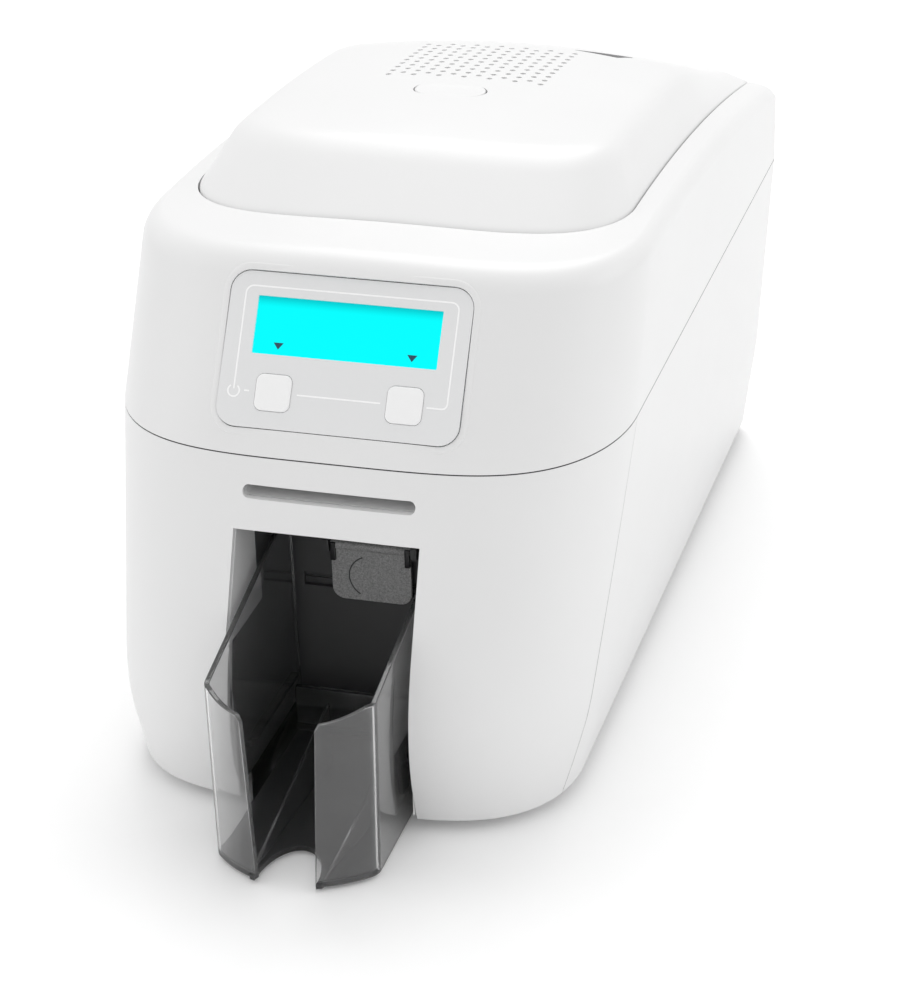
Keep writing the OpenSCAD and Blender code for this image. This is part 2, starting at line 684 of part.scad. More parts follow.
module vent_field() {
    for (row = [0:vent_rows - 1], column = [-vent_columns:2:vent_columns]) {
        x = (column + row % 2) * vent_pitch;
        if (abs(x) <= vent_columns * vent_pitch)
            translate([x, vent_y + row * vent_pitch, boss_z - 20]) cylinder(h = 60, r = vent_d / 2, $fn = 8);
    }
}
module lid_knuckle(x) {
    rod(x, x + knuckle_w, hinge_y, hinge_z, knuckle_r);
    slab(x, x + knuckle_w, [[hinge_y - knuckle_r + 0.5, hinge_z], [hinge_y - 1, hinge_z],
        [hinge_y - 1, lid_top_z([x, hinge_y - 1]) - wall - 1.5],
        [hinge_y - 12, lid_top_z([x, hinge_y - 12]) - wall / 2], [hinge_y - 16, lid_top_z([x, hinge_y - 16]) - wall / 2]]);
}
module lid() {
    color(white) difference() {
        union() {
            lid_shell();
            for (s = [-1, 1]) {
                translate([s * arm_x, arm_y, boss_z])
                    cylinder(h = lid_top_z([arm_x, arm_y]) - wall / 2 - boss_z, r = boss_r);
                lid_knuckle(s > 0 ? hinge_x : -hinge_x - knuckle_w);
                ear_in = s * (latch_half + seat);
                box([min(ear_in, ear_in + s * latch_ear_t), latch_y - 5, latch_z - 4],
                    [max(ear_in, ear_in + s * latch_ear_t), latch_y + 5, lid_top_z([0, latch_y]) - wall / 2]);
            }
        }
        rod(-hinge_x - knuckle_w - over, hinge_x + knuckle_w + over, hinge_y, hinge_z, hinge_pin_r + running_fit);
        rod(-latch_reach, latch_reach, latch_y, latch_z, latch_pin_r + 0.02);
        translate([0, release_y, boss_z]) rounded_plate(release_l + 2 * seat, release_w + 2 * seat, release_w / 2 + seat - 0.01, 40);
        translate([0, 0, lid_top_z(accent_at) - accent_t]) linear_extrude(10) accent_outline(0.06);
        vent_field();
    }
}
module corner_accent() {
    color(dark_grey) translate([0, 0, lid_top_z(accent_at) - accent_t]) linear_extrude(accent_t) accent_outline(0);
}
release_bottom = latch_z + 8.3;
module lid_release_button() {
    top = lid_top_z([0, release_y]);
    color(white) {
        translate([0, release_y, top - 6]) rounded_plate(release_l, release_w, release_w / 2 - 0.01, 6);
        translate([0, release_y - 1, release_bottom]) cylinder(h = top - 5 - release_bottom, r = 2);
    }
}
latch_bar_y = 44;
latch_bar_z = 176;
latch_bar_r = 3;
latch_tip = latch_bar_y - latch_bar_r - seat;
module latch_hook() {
    color(mid_grey) difference() {
        slab(-latch_half, latch_half, [
            [latch_y - 4, latch_z - 4], [latch_y - 4, latch_z + 4], [latch_y + 2, latch_z + 8],
            [release_y + 4, latch_z + 8], [release_y + 4, latch_z + 5], [latch_y + 8, latch_z + 2],
            [latch_tip - 3, latch_bar_z + 4], [latch_tip, latch_bar_z - 4], [latch_tip - 5, latch_bar_z - 6],
            [latch_tip - 8, latch_bar_z + 2]]);
        rod(-latch_half - over, latch_half + over, latch_y, latch_z, latch_pin_r + running_fit);
    }
}
module latch_pin() {
    color(steel) rod(-latch_reach, latch_reach, latch_y, latch_z, latch_pin_r);
}
head_z = path_z + card_t / 2 + 0.6;
head_h = 14;
head_w = 62;
module printhead_bracket() {
    color(mid_grey) {
        box([-head_w / 2 - 3, arm_y - 8, head_z + head_h], [head_w / 2 + 3, arm_y + 8, head_z + head_h + 5]);
        for (s = [-1, 1])
            box([s * arm_x - 3, arm_y - 4, head_z + head_h + 4], [s * arm_x + 3, arm_y + 4, boss_z]);
    }
}
module printhead() {
    color(black) {
        slab(-head_w / 2, head_w / 2, [[arm_y - 2, head_z], [arm_y + 3, head_z], [arm_y + 7, head_z + 4],
            [arm_y + 7, head_z + head_h], [arm_y - 7, head_z + head_h], [arm_y - 7, head_z + 4]]);
    }
}

// ---- Print engine -------------------------------------------------------------------------
roller_z = path_z - card_t / 2 - roller_r;
pinch_z = path_z + card_t / 2 + pinch_r;
pinion_teeth = gear_teeth / 2;
motor_y = train(5);
motor_z = roller_z - gear_pitch / 2 - gear_pitch / 4;
gear_x = frame_x + frame_t + 0.5;
roller_half = 30;
pinch_shaft_r = 2;
spool_pin_r = 4;
supply_at = [66, 165];
takeup_at = [-34, 163];
motor_r = 15;
motor_l = 26;
motor_shaft_r = 2.5;
deck_t = 2;
deck_half = 66;
deck_front = -92;
deck_back = 156;
screw_r = 1.5;
screw_l = 8;
screw_head_r = 3;
screw_head_h = 2;
frame_top = 180;
stud_r = 3;

pressure_angle = 20;
backlash = 0.16;
function involute(angle) = tan(angle) - angle * PI / 180;
function tooth_half(r, pitch_r, thick) = let (base_r = pitch_r * cos(pressure_angle))
    180 / PI * (thick / (2 * pitch_r) + involute(pressure_angle)
        - involute(acos(min(1, base_r / max(r, base_r)))));
module gear(teeth, y, z, bore_r, phase) {
    pitch_r = teeth * gear_module / 2;
    thick = PI * gear_module / 2 - backlash;
    radii = [pitch_r - 1.2 * gear_module, pitch_r - 0.4 * gear_module, pitch_r + 0.3 * gear_module, pitch_r + 0.95 * gear_module];
    rising = [for (r = radii) [r, -tooth_half(r, pitch_r, thick)]];
    tooth = concat(rising, [for (i = [len(radii) - 1:-1:0]) [rising[i][0], -rising[i][1]]]);
    color(pale_grey) translate([gear_x, y, z]) rotate([90, 0, 90]) difference() {
        linear_extrude(gear_w) polygon([for (t = [0:teeth - 1], p = tooth)
            let (a = 360 * t / teeth + phase + p[1]) [p[0] * cos(a), p[0] * sin(a)]]);
        translate([0, 0, -over]) cylinder(h = gear_w + 2 * over, r = bore_r);
    }
}
function train_phase(k) = k % 2 == 0 ? 0 : 180 / gear_teeth;
module roller_gear(k) gear(gear_teeth, train(k), roller_z, shaft_r + 0.02, train_phase(k));
module idler_gear(k) gear(gear_teeth, train(k), roller_z, stud_r + running_fit, train_phase(k));
module driven_roller(k, tint) {
    color(tint) rod(-roller_half, roller_half, train(k), roller_z, roller_r);
    color(steel) rod(-frame_x - frame_t - 1, gear_x + gear_w + 1, train(k), roller_z, shaft_r);
}
module pinch_roller(k, tint) {
    color(tint) rod(-roller_half, roller_half, train(k), pinch_z, pinch_r);
    color(steel) rod(-frame_x - frame_t - 1, frame_x + frame_t + 0.3, train(k), pinch_z, pinch_shaft_r);
}
module infeed_roller() driven_roller(0, black);
module infeed_gear() roller_gear(0);
module cleaning_drive_roller() driven_roller(2, black);
module cleaning_drive_gear() roller_gear(2);
module front_idler_gear() idler_gear(1);
module platen_roller() driven_roller(4, black);
module platen_gear() roller_gear(4);
module middle_idler_gear() idler_gear(3);
module rear_idler_gear() idler_gear(5);
module outfeed_roller() driven_roller(6, black);
module outfeed_gear() roller_gear(6);
module infeed_pinch_roller() pinch_roller(0, mid_grey);
module cleaning_roller() pinch_roller(2, "steelblue");
module outfeed_pinch_roller() pinch_roller(6, mid_grey);
module idler_studs() {
    color(steel) for (k = [1, 3, 5]) {
        rod(frame_x - 1, gear_x + gear_w + 0.3, train(k), roller_z, stud_r);
        rod(gear_x + gear_w + 0.3, gear_x + gear_w + 1.3, train(k), roller_z, stud_r + 1.5);
    }
}
module motor_pinion() gear(pinion_teeth, motor_y, motor_z, motor_shaft_r, 0);
module drive_motor() {
    color(dark_grey) rod(frame_x - motor_l, frame_x, motor_y, motor_z, motor_r);
    color(steel) rod(frame_x - over, frame_x + frame_t + 0.2, motor_y, motor_z, 4);
}
module spool(at, core_r) {
    color(white) {
        rod(-frame_x + 1, frame_x - 1, at.x, at.y, core_r);
        rod(-frame_x - frame_t - 1, frame_x + frame_t + 1, at.x, at.y, spool_pin_r);
    }
}
module film_roll(at, core_r, r) {
    color(black) difference() {
        rod(-roller_half, roller_half, at.x, at.y, r);
        rod(-roller_half - over, roller_half + over, at.x, at.y, core_r + 0.02);
    }
}
core_r = 7;
module supply_spool() spool(supply_at, core_r);
module supply_film_roll() film_roll(supply_at, core_r, supply_r);
module takeup_spool() spool(takeup_at, core_r);
module takeup_film_roll() film_roll(takeup_at, core_r, takeup_r);

frame_foot_w = 8;
module side_frame(s) {
    inner = s * frame_x;
    color(steel) difference() {
        union() {
            slab(min(inner, inner + s * frame_t), max(inner, inner + s * frame_t), [
                [train(0) - 9, deck_z + deck_t], [train(6) + 9, deck_z + deck_t], [train(6) + 9, 144],
                [supply_at.x + 16, 160], [supply_at.x + 10, frame_top], [latch_bar_y - 7, frame_top],
                [latch_bar_y - 10, 150], [arm_y - 20, 150], [takeup_at.x + 12, 172],
                [takeup_at.x - 12, 172], [train(0) - 9, 146]]);
            for (y = [train(0), train(6)])
                box([min(inner, inner + s * (frame_t + frame_foot_w)), y - 8, deck_z + deck_t],
                    [max(inner, inner + s * (frame_t + frame_foot_w)), y + 8, deck_z + deck_t + frame_t]);
        }
        for (k = [0, 2, 4, 6]) rod(-half_w, half_w, train(k), roller_z, shaft_r + running_fit);
        for (k = [0, 2, 6]) rod(-half_w, half_w, train(k), pinch_z, pinch_shaft_r + running_fit);
        for (at = [supply_at, takeup_at]) rod(-half_w, half_w, at.x, at.y, spool_pin_r + running_fit);
        rod(-half_w, half_w, latch_bar_y, latch_bar_z, latch_bar_r + 0.02);
        if (s > 0) {
            for (k = [1, 3, 5]) rod(-half_w, half_w, train(k), roller_z, stud_r + 0.02);
            rod(-half_w, half_w, motor_y, motor_z, 4 + 0.02);
        }
        // Window that lightens the plate
        slab(-half_w, half_w, [[train(1), deck_z + 12], [train(3), deck_z + 12], [train(3), roller_z - 14], [train(1), roller_z - 14]]);
    }
}
module left_frame() side_frame(-1);
module right_frame() side_frame(1);
module latch_bar() {
    color(steel) rod(-frame_x - frame_t - 1, frame_x + frame_t + 1, latch_bar_y, latch_bar_z, latch_bar_r);
}
module engine_deck() {
    color(steel) difference() {
        box([-deck_half, deck_front, deck_z], [deck_half, deck_back, deck_z + deck_t]);
        for (x = [-post_x, post_x], y = post_ys)
            translate([x, y, deck_z - over]) cylinder(h = deck_t + 2 * over, r = screw_r + 0.2);
        box([-30, train(1), deck_z - over], [30, train(5), deck_z + deck_t + over]);
    }
}
module deck_screws() {
    color(steel) for (x = [-post_x, post_x], y = post_ys) translate([x, y, 0]) {
        translate([0, 0, deck_z - screw_l + 1]) cylinder(h = deck_t + screw_l - 1, r = screw_r);
        translate([0, 0, deck_z + deck_t]) cylinder(h = screw_head_h, r = screw_head_r);
    }
}

// ---- Back of the case ---------------------------------------------------------------------
usb_x = -4;
power_inset = 14; // the outer sockets' middles from the board's ends
network_inset = 20;
power_x = power_inset - board_w / 2;
network_x = board_w / 2 - network_inset;
socket_z = board_z + board_t;
socket_gap = 0.3;
usb_size = [12, 16, 11];
network_size = [16, 18, 14];
power_size = [14, 14, 12];
module socket_space(x, size, grow) {
    box([x - size.x / 2 - grow, case_back - size.y - grow, socket_z - (grow > 0 ? grow : 0)],
        [x + size.x / 2 + grow, case_back + (grow > 0 ? over : 0), socket_z + size.z + grow]);
}
module rear_panel() {
    color(mid_grey) difference() {
        box([-rear_panel_w / 2, case_back - wall, rear_panel_z], [rear_panel_w / 2, case_back, rear_panel_z + rear_panel_h]);
        socket_space(power_x, power_size, socket_gap);
        socket_space(usb_x, usb_size, socket_gap);
        socket_space(network_x, network_size, socket_gap);
    }
}
module power_socket() {
    color(black) difference() {
        socket_space(power_x, power_size, 0);
        translate([power_x, case_back + over, socket_z + power_size.z / 2]) rotate([90, 0, 0]) cylinder(h = 10, r = 4);
    }
}
module usb_socket() {
    color(steel) difference() {
        socket_space(usb_x, usb_size, 0);
        box([usb_x - usb_size.x / 2 + 1, case_back - 10, socket_z + 1], [usb_x + usb_size.x / 2 - 1, case_back + over, socket_z + usb_size.z - 1]);
    }
}
module network_socket() {
    color(steel) difference() {
        socket_space(network_x, network_size, 0);
        box([network_x - network_size.x / 2 + 1.5, case_back - 12, socket_z + 2],
            [network_x + network_size.x / 2 - 1.5, case_back + over, socket_z + network_size.z - 3]);
    }
}
module main_board() {
    color("darkgreen") box([-board_w / 2, board_back - board_l, board_z], [board_w / 2, board_back, board_z + board_t]);
}
module rubber_feet() {
    color(black) for (x = [-foot_x, foot_x], y = foot_ys) translate([x, y, 0]) {
        cylinder(h = base_z, r = foot_r);
    }
}

lower_case();
front_fascia();
upper_cover();
lid();
lid_release_button();
corner_accent();
display_bezel();
lcd_window();
display_board();
left_key();
right_key();
bay_liner();
exit_flap();
flap_pin();
card_hopper();
rear_panel();
power_socket();
usb_socket();
network_socket();
main_board();
rubber_feet();
engine_deck();
left_frame();
right_frame();
deck_screws();
hinge_pins();
latch_hook();
latch_pin();
latch_bar();
printhead_bracket();
printhead();
infeed_roller();
infeed_gear();
cleaning_drive_roller();
cleaning_drive_gear();
platen_roller();
platen_gear();
outfeed_roller();
outfeed_gear();
front_idler_gear();
middle_idler_gear();
rear_idler_gear();
idler_studs();
drive_motor();
motor_pinion();
infeed_pinch_roller();
cleaning_roller();
outfeed_pinch_roller();
supply_spool();
supply_film_roll();
takeup_spool();
takeup_film_roll();
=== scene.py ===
"""Looks for the card printer: smooth covers, display panel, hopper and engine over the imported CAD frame."""
from __future__ import annotations

import json
import logging
import math
from dataclasses import dataclass, field
from enum import Enum
from typing import Callable, Iterable, Sequence

import bmesh
import bpy
from mathutils import Matrix, Vector

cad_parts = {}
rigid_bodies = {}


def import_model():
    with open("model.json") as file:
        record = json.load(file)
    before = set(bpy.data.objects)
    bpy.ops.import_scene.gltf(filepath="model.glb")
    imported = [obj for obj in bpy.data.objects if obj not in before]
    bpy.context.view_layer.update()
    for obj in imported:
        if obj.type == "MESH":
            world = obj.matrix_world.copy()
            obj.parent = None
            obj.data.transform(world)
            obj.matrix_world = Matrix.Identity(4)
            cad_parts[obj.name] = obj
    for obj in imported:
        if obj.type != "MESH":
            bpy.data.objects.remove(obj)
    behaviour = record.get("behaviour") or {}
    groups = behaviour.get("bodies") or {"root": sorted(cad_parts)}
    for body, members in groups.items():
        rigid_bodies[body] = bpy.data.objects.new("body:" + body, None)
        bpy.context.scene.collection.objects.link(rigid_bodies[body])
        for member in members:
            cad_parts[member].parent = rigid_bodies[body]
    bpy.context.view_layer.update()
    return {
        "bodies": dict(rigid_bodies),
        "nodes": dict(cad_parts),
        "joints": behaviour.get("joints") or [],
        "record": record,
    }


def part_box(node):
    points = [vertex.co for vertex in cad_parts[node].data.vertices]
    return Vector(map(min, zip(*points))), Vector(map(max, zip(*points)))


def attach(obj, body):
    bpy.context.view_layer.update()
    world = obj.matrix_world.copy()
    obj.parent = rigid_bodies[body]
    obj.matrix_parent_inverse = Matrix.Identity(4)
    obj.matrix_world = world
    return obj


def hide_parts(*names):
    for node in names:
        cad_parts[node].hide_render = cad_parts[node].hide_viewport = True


LOG = logging.getLogger("card_printer")
MM = 0.001
Colour = tuple[float, float, float]
Place = Callable[[float, float], Vector]
# Turns for shapes that are drawn flat or about X. UPRIGHT stands a turned solid on its end. FACING stands a
# plate across the front, with its thickness forwards. SIDEWAYS stands it along Y, with its thickness along X.
UPRIGHT = Matrix.Rotation(-math.pi / 2, 4, "Y")
FACING = Matrix.Rotation(math.pi / 2, 4, "X")
SIDEWAYS = Matrix(((0, 0, 1, 0), (1, 0, 0, 0), (0, 1, 0, 0), (0, 0, 0, 1)))


# ---- Shader building ----------------------------------------------------------------------------
class Value:
    """One shader value, with the operators that the finishes use in their expressions."""

    def __init__(self, tree: Tree, socket: bpy.types.NodeSocket) -> None:
        """Wraps an output socket.

        Args:
            tree: The material's node tree.
            socket: The output socket that carries the value.
        """
        self.tree = tree
        self.socket = socket

    def _math(self, operation: str, other: Value | float, flipped: bool = False) -> Value:
        """Adds one Math node.

        Args:
            operation: The Math node's operation.
            other: The second operand.
            flipped: Whether the other operand comes first.

        Returns:
            The result as a new value.
        """
        pair = (other, self) if flipped else (self, other)
        return self.tree.add("ShaderNodeMath", {"operation": operation}, {0: pair[0], 1: pair[1]})

    def __add__(self, other: Value | float) -> Value:
        """Adds two values."""
        return self._math("ADD", other)

    def __radd__(self, other: float) -> Value:
        """Adds a value to a number."""
        return self._math("ADD", other)

    def __sub__(self, other: Value | float) -> Value:
        """Subtracts a value."""
        return self._math("SUBTRACT", other)

    def __rsub__(self, other: float) -> Value:
        """Subtracts this value from a number."""
        return self._math("SUBTRACT", other, True)

    def __mul__(self, other: Value | float) -> Value:
        """Multiplies two values."""
        return self._math("MULTIPLY", other)

    def __rmul__(self, other: float) -> Value:
        """Multiplies a number by this value."""
        return self._math("MULTIPLY", other)

    def over(self, other: Value | float) -> Value:
        """Gives 1 where this value is greater than the other, and 0 elsewhere."""
        return self._math("GREATER_THAN", other)

    def size(self) -> Value:
        """Gives the absolute value."""
        return self._math("ABSOLUTE", 0.0)

    def sine(self) -> Value:
        """Gives the sine."""
        return self._math("SINE", 0.0)


class Tree:
    """The node tree of one material, built through one method."""

    def __init__(self, name: str) -> None:
        """Starts an empty material.

        Args:
            name: The material's name.
        """
        self.material = bpy.data.materials.new(name)
        self.material.use_nodes = True
        self.nodes = self.material.node_tree.nodes
        self.links = self.material.node_tree.links
        self.nodes.clear()
        self.out = self.nodes.new("ShaderNodeOutputMaterial")

    def add(self, kind: str, settings: dict[str, object], inputs: dict[int | str, object],
            output: int | str = 0) -> Value:
        """Adds any node.

        Args:
            kind: The node's type.
            settings: Properties that are set before the sockets.
            inputs: Socket name or number to a value or a constant.
            output: The output that the result carries.

        Returns:
            The chosen output.
        """
        node = self.nodes.new(kind)
        for key, setting in settings.items():
            setattr(node, key, setting)
        for key, given in inputs.items():
            if isinstance(given, Value):
                self.links.new(given.socket, node.inputs[key])
            elif isinstance(given, tuple) and len(given) == 3 and len(node.inputs[key].default_value) == 4:
                node.inputs[key].default_value = (*given, 1.0)
            else:
                node.inputs[key].default_value = given
        return Value(self, node.outputs[output])

    def spot(self, scale: Sequence[float] = (1.0, 1.0, 1.0)) -> Value:
        """Gives the place on the object, in metres, scaled."""
        coords = self.add("ShaderNodeTexCoord", {}, {}, "Object")
        return self.add("ShaderNodeMapping", {}, {"Vector": coords, "Scale": tuple(scale)})

    def noise(self, place: Value, scale: float, detail: float = 2.0, rough: float = 0.5) -> Value:
        """Gives a noise value from 0 to 1."""
        return self.add("ShaderNodeTexNoise", {}, {"Vector": place, "Scale": scale, "Detail": detail,
                                                   "Roughness": rough})

    def blend(self, factor: Value | float, first: object, second: object) -> Value:
        """Mixes two colours by a factor."""
        return self.add("ShaderNodeMix", {"data_type": "RGBA"}, {0: factor, 6: first, 7: second}, 2)

    def bump(self, height: Value, distance: float, strength: float = 1.0) -> Value:
        """Turns a height from 0 to 1 into a normal.

        Args:
            height: The height.
            distance: The height in metres at 1.
            strength: How much of it is used.

        Returns:
            The bumped normal.
        """
        return self.add("ShaderNodeBump", {}, {"Height": height, "Distance": distance, "Strength": strength})

    def surface(self, **sockets: object) -> bpy.types.Material:
        """Adds the shader and joins it to the output.

        Args:
            **sockets: Shader socket names, with an underscore for a space.

        Returns:
            The finished material.
        """
        shader = self.add("ShaderNodeBsdfPrincipled", {},
                          {name.replace("_", " "): given for name, given in sockets.items()})
        self.links.new(shader.socket, self.out.inputs["Surface"])
        return self.material


class Finish:
    """A material recipe that is built once and then shared."""

    made: dict[str, bpy.types.Material] = {}

    def material(self) -> bpy.types.Material:
        """Gives the finish's material, built at its first use."""
        name = getattr(self, "name")
        if name not in Finish.made:
            Finish.made[name] = self.build(Tree(name))
        return Finish.made[name]

    def build(self, tree: Tree) -> bpy.types.Material:
        """Builds the material in an empty tree."""
        raise NotImplementedError


@dataclass(frozen=True)
class MouldedPlastic(Finish):
    """Injection-moulded plastic with a fine spark-eroded grain."""

    name: str
    colour: Colour
    roughness: float = 0.38
    grain: float = 0.6
    depth: float = 0.02
    cloud: float = 0.02
    coat: float = 0.0

    def build(self, tree: Tree) -> bpy.types.Material:
        """Builds the grain, the slow colour drift and the uneven gloss."""
        place = tree.spot()
        slow = tree.noise(place, 14.0, 3.0)
        fine = tree.noise(place, 1000.0 / self.grain, 3.0, 0.65)
        smudge = tree.noise(place, 45.0, 4.0, 0.6)
        dark = tuple(c * (1.0 - self.cloud) for c in self.colour)
        light = tuple(min(1.0, c * (1.0 + self.cloud)) for c in self.colour)
        colour = tree.blend(slow, dark, light)
        colour = tree.blend((fine - 0.5).size() * 0.12, colour, tuple(c * 0.85 for c in self.colour))
        rough = self.roughness + (smudge - 0.5) * 0.10 + (fine - 0.5) * 0.08
        return tree.surface(Base_Color=colour, Roughness=rough, Coat_Weight=self.coat, Coat_Roughness=0.15,
                            Normal=tree.bump(fine, self.depth * MM))


@dataclass(frozen=True)
class Speckled(Finish):
    """Heavily grained plastic with light and dark specks."""

    name: str
    colour: Colour
    roughness: float = 0.6
    depth: float = 0.08

    def build(self, tree: Tree) -> bpy.types.Material:
        """Builds the specks from two noises of different size."""
        place = tree.spot()
        coarse = tree.noise(place, 1400.0, 2.0, 0.6)
        fine = tree.noise(place, 3200.0, 2.0, 0.7)
        grain = coarse * 0.6 + fine * 0.4
        share = tree.add("ShaderNodeMapRange", {}, {"Value": grain, "From Min": 0.35, "From Max": 0.65})
        colour = tree.blend(share, *(tuple(c * tone for c in self.colour) for tone in (0.62, 1.35)))
        return tree.surface(Base_Color=colour, Roughness=self.roughness + (grain - 0.5) * 0.3,
                            Normal=tree.bump(grain, self.depth * MM))


@dataclass(frozen=True)
class SmokeClear(Finish):
    """Clear moulded plastic with a smoke tint."""

    name: str
    colour: Colour
    roughness: float = 0.05
    depth: float = 0.08

    def build(self, tree: Tree) -> bpy.types.Material:
        """Builds the tinted shader with faint flow lines and handling marks."""
        place = tree.spot()
        flow = tree.noise(tree.spot((6.0, 6.0, 30.0)), 3.0, 3.0)
        marks = tree.noise(place, 120.0, 5.0, 0.7)
        rough = self.roughness + (marks - 0.45) * 0.09
        colour = tree.blend(flow, tuple(c * 0.9 for c in self.colour), self.colour)
        return tree.surface(Base_Color=colour, Roughness=rough, Transmission_Weight=0.96, IOR=1.5,
                            Specular_IOR_Level=0.8, Normal=tree.bump(flow, self.depth * MM, 0.4))


@dataclass(frozen=True)
class Rubber(Finish):
    """Ground or moulded rubber."""

    name: str
    colour: Colour
    roughness: float = 0.75
    scale: float = 900.0
    depth: float = 0.04

    def build(self, tree: Tree) -> bpy.types.Material:
        """Builds the matt surface with fine grinding marks."""
        place = tree.spot()
        fine = tree.noise(place, self.scale, 4.0, 0.7)
        dust = tree.noise(place, 60.0, 3.0)
        colour = tree.blend(dust * 0.5, self.colour, tuple(min(1.0, c + 0.05) for c in self.colour))
        return tree.surface(Base_Color=colour, Roughness=self.roughness + (fine - 0.5) * 0.2,
                            Normal=tree.bump(fine, self.depth * MM))


@dataclass(frozen=True)
class BrushedMetal(Finish):
    """Sheet or turned metal with brushing along one axis."""

    name: str
    colour: Colour
    roughness: float = 0.3
    along: int = 1
    zinc: float = 0.0
    depth: float = 0.01

    def build(self, tree: Tree) -> bpy.types.Material:
        """Builds the brushing, the flecks of plating and the uneven gloss."""
        scale = [900.0, 900.0, 900.0]
        scale[self.along] = 25.0
        lines = tree.noise(tree.spot(tuple(scale)), 1.0, 4.0, 0.6)
        place = tree.spot()
        flecks = tree.add("ShaderNodeTexVoronoi", {}, {"Vector": place, "Scale": 260.0}, "Color")
        fleck = tree.add("ShaderNodeSeparateColor", {}, {"Color": flecks}) * self.zinc
        colour = tree.blend(lines, tuple(c * 0.86 for c in self.colour), self.colour)
        colour = tree.blend(fleck, colour, tuple(min(1.0, c * 1.15) for c in self.colour))
        rough = self.roughness + (lines - 0.5) * 0.16 + fleck * 0.1
        return tree.surface(Base_Color=colour, Metallic=1.0, Roughness=rough,
                            Normal=tree.bump(lines, self.depth * MM))


@dataclass(frozen=True)
class CircuitBoard(Finish):
    """Green solder resist over copper tracks."""

    name: str
    colour: Colour = (0.012, 0.12, 0.05)
    track: Colour = (0.03, 0.25, 0.10)
    pad: Colour = (0.75, 0.68, 0.45)
    depth: float = 0.03

    def build(self, tree: Tree) -> bpy.types.Material:
        """Builds tracks from two crossed bands and pads from a grid of dots."""
        place = tree.spot()
        cells = tree.add("ShaderNodeTexBrick", {"offset": 0.5}, {
            "Vector": place, "Scale": 150.0, "Mortar Size": 0.03, "Color1": (0.0, 0.0, 0.0),
            "Color2": (0.15, 0.15, 0.15), "Mortar": (1.0, 1.0, 1.0)})
        tracks = tree.add("ShaderNodeSeparateColor", {}, {"Color": cells})
        dots = tree.add("ShaderNodeTexVoronoi", {}, {"Vector": place, "Scale": 320.0}, "Distance")
        pads = 1.0 - dots.over(0.16)
        colour = tree.blend(tracks * 0.6, self.colour, self.track)
        colour = tree.blend(pads * 0.8, colour, self.pad)
        return tree.surface(Base_Color=colour, Roughness=0.3 - pads * 0.1, Metallic=pads * 0.7,
                            Normal=tree.bump(tracks, self.depth * MM))


@dataclass(frozen=True)
class LitDisplay(Finish):
    """A backlit dot-matrix window."""

    name: str
    lit: Colour = (0.0, 0.99, 1.0)
    unlit: Colour = (0.0, 0.60, 0.66)
    # The darker colour below, faded in over the heights of shade in metres, paints a shadow under the
    # window's top edge.
    painted_shade_colour: Colour = (0.0, 0.50, 0.53)
    cell: float = 0.60
    upright: float = 0.848
    thin: float = 0.93
    shade: tuple[float, float] = (0.1905, 0.1955)

    def build(self, tree: Tree) -> bpy.types.Material:
        """Builds the backlight with the faint grid of unlit dots and the painted shade under the top edge."""
        place = tree.spot()
        across, _, up = (tree.add("ShaderNodeSeparateXYZ", {}, {"Vector": place}, i) for i in range(3))
        pitch = self.cell * MM
        grid_x = (across * (math.tau / pitch)).sine().over(self.thin)
        grid_z = (up * (math.tau / (pitch * self.upright))).sine().over(self.thin)
        lines = (grid_x + grid_z) * 0.06
        drift = tree.noise(place, 22.0, 2.0) * 0.05
        glow = tree.blend(lines + drift, self.lit, self.unlit)
        # Painted shade: the window fades to the darker colour towards its top edge, standing in for the
        # shadow of the recess above it.
        shade = tree.add("ShaderNodeMapRange", {"interpolation_type": "SMOOTHSTEP"},
                         {"Value": up, "From Min": self.shade[0], "From Max": self.shade[1]})
        glow = tree.blend(shade, glow, self.painted_shade_colour)
        return tree.surface(Base_Color=(0.0, 0.02, 0.02), Roughness=0.3 + drift, Emission_Color=glow,
                            Emission_Strength=1.0, Specular_IOR_Level=0.05)


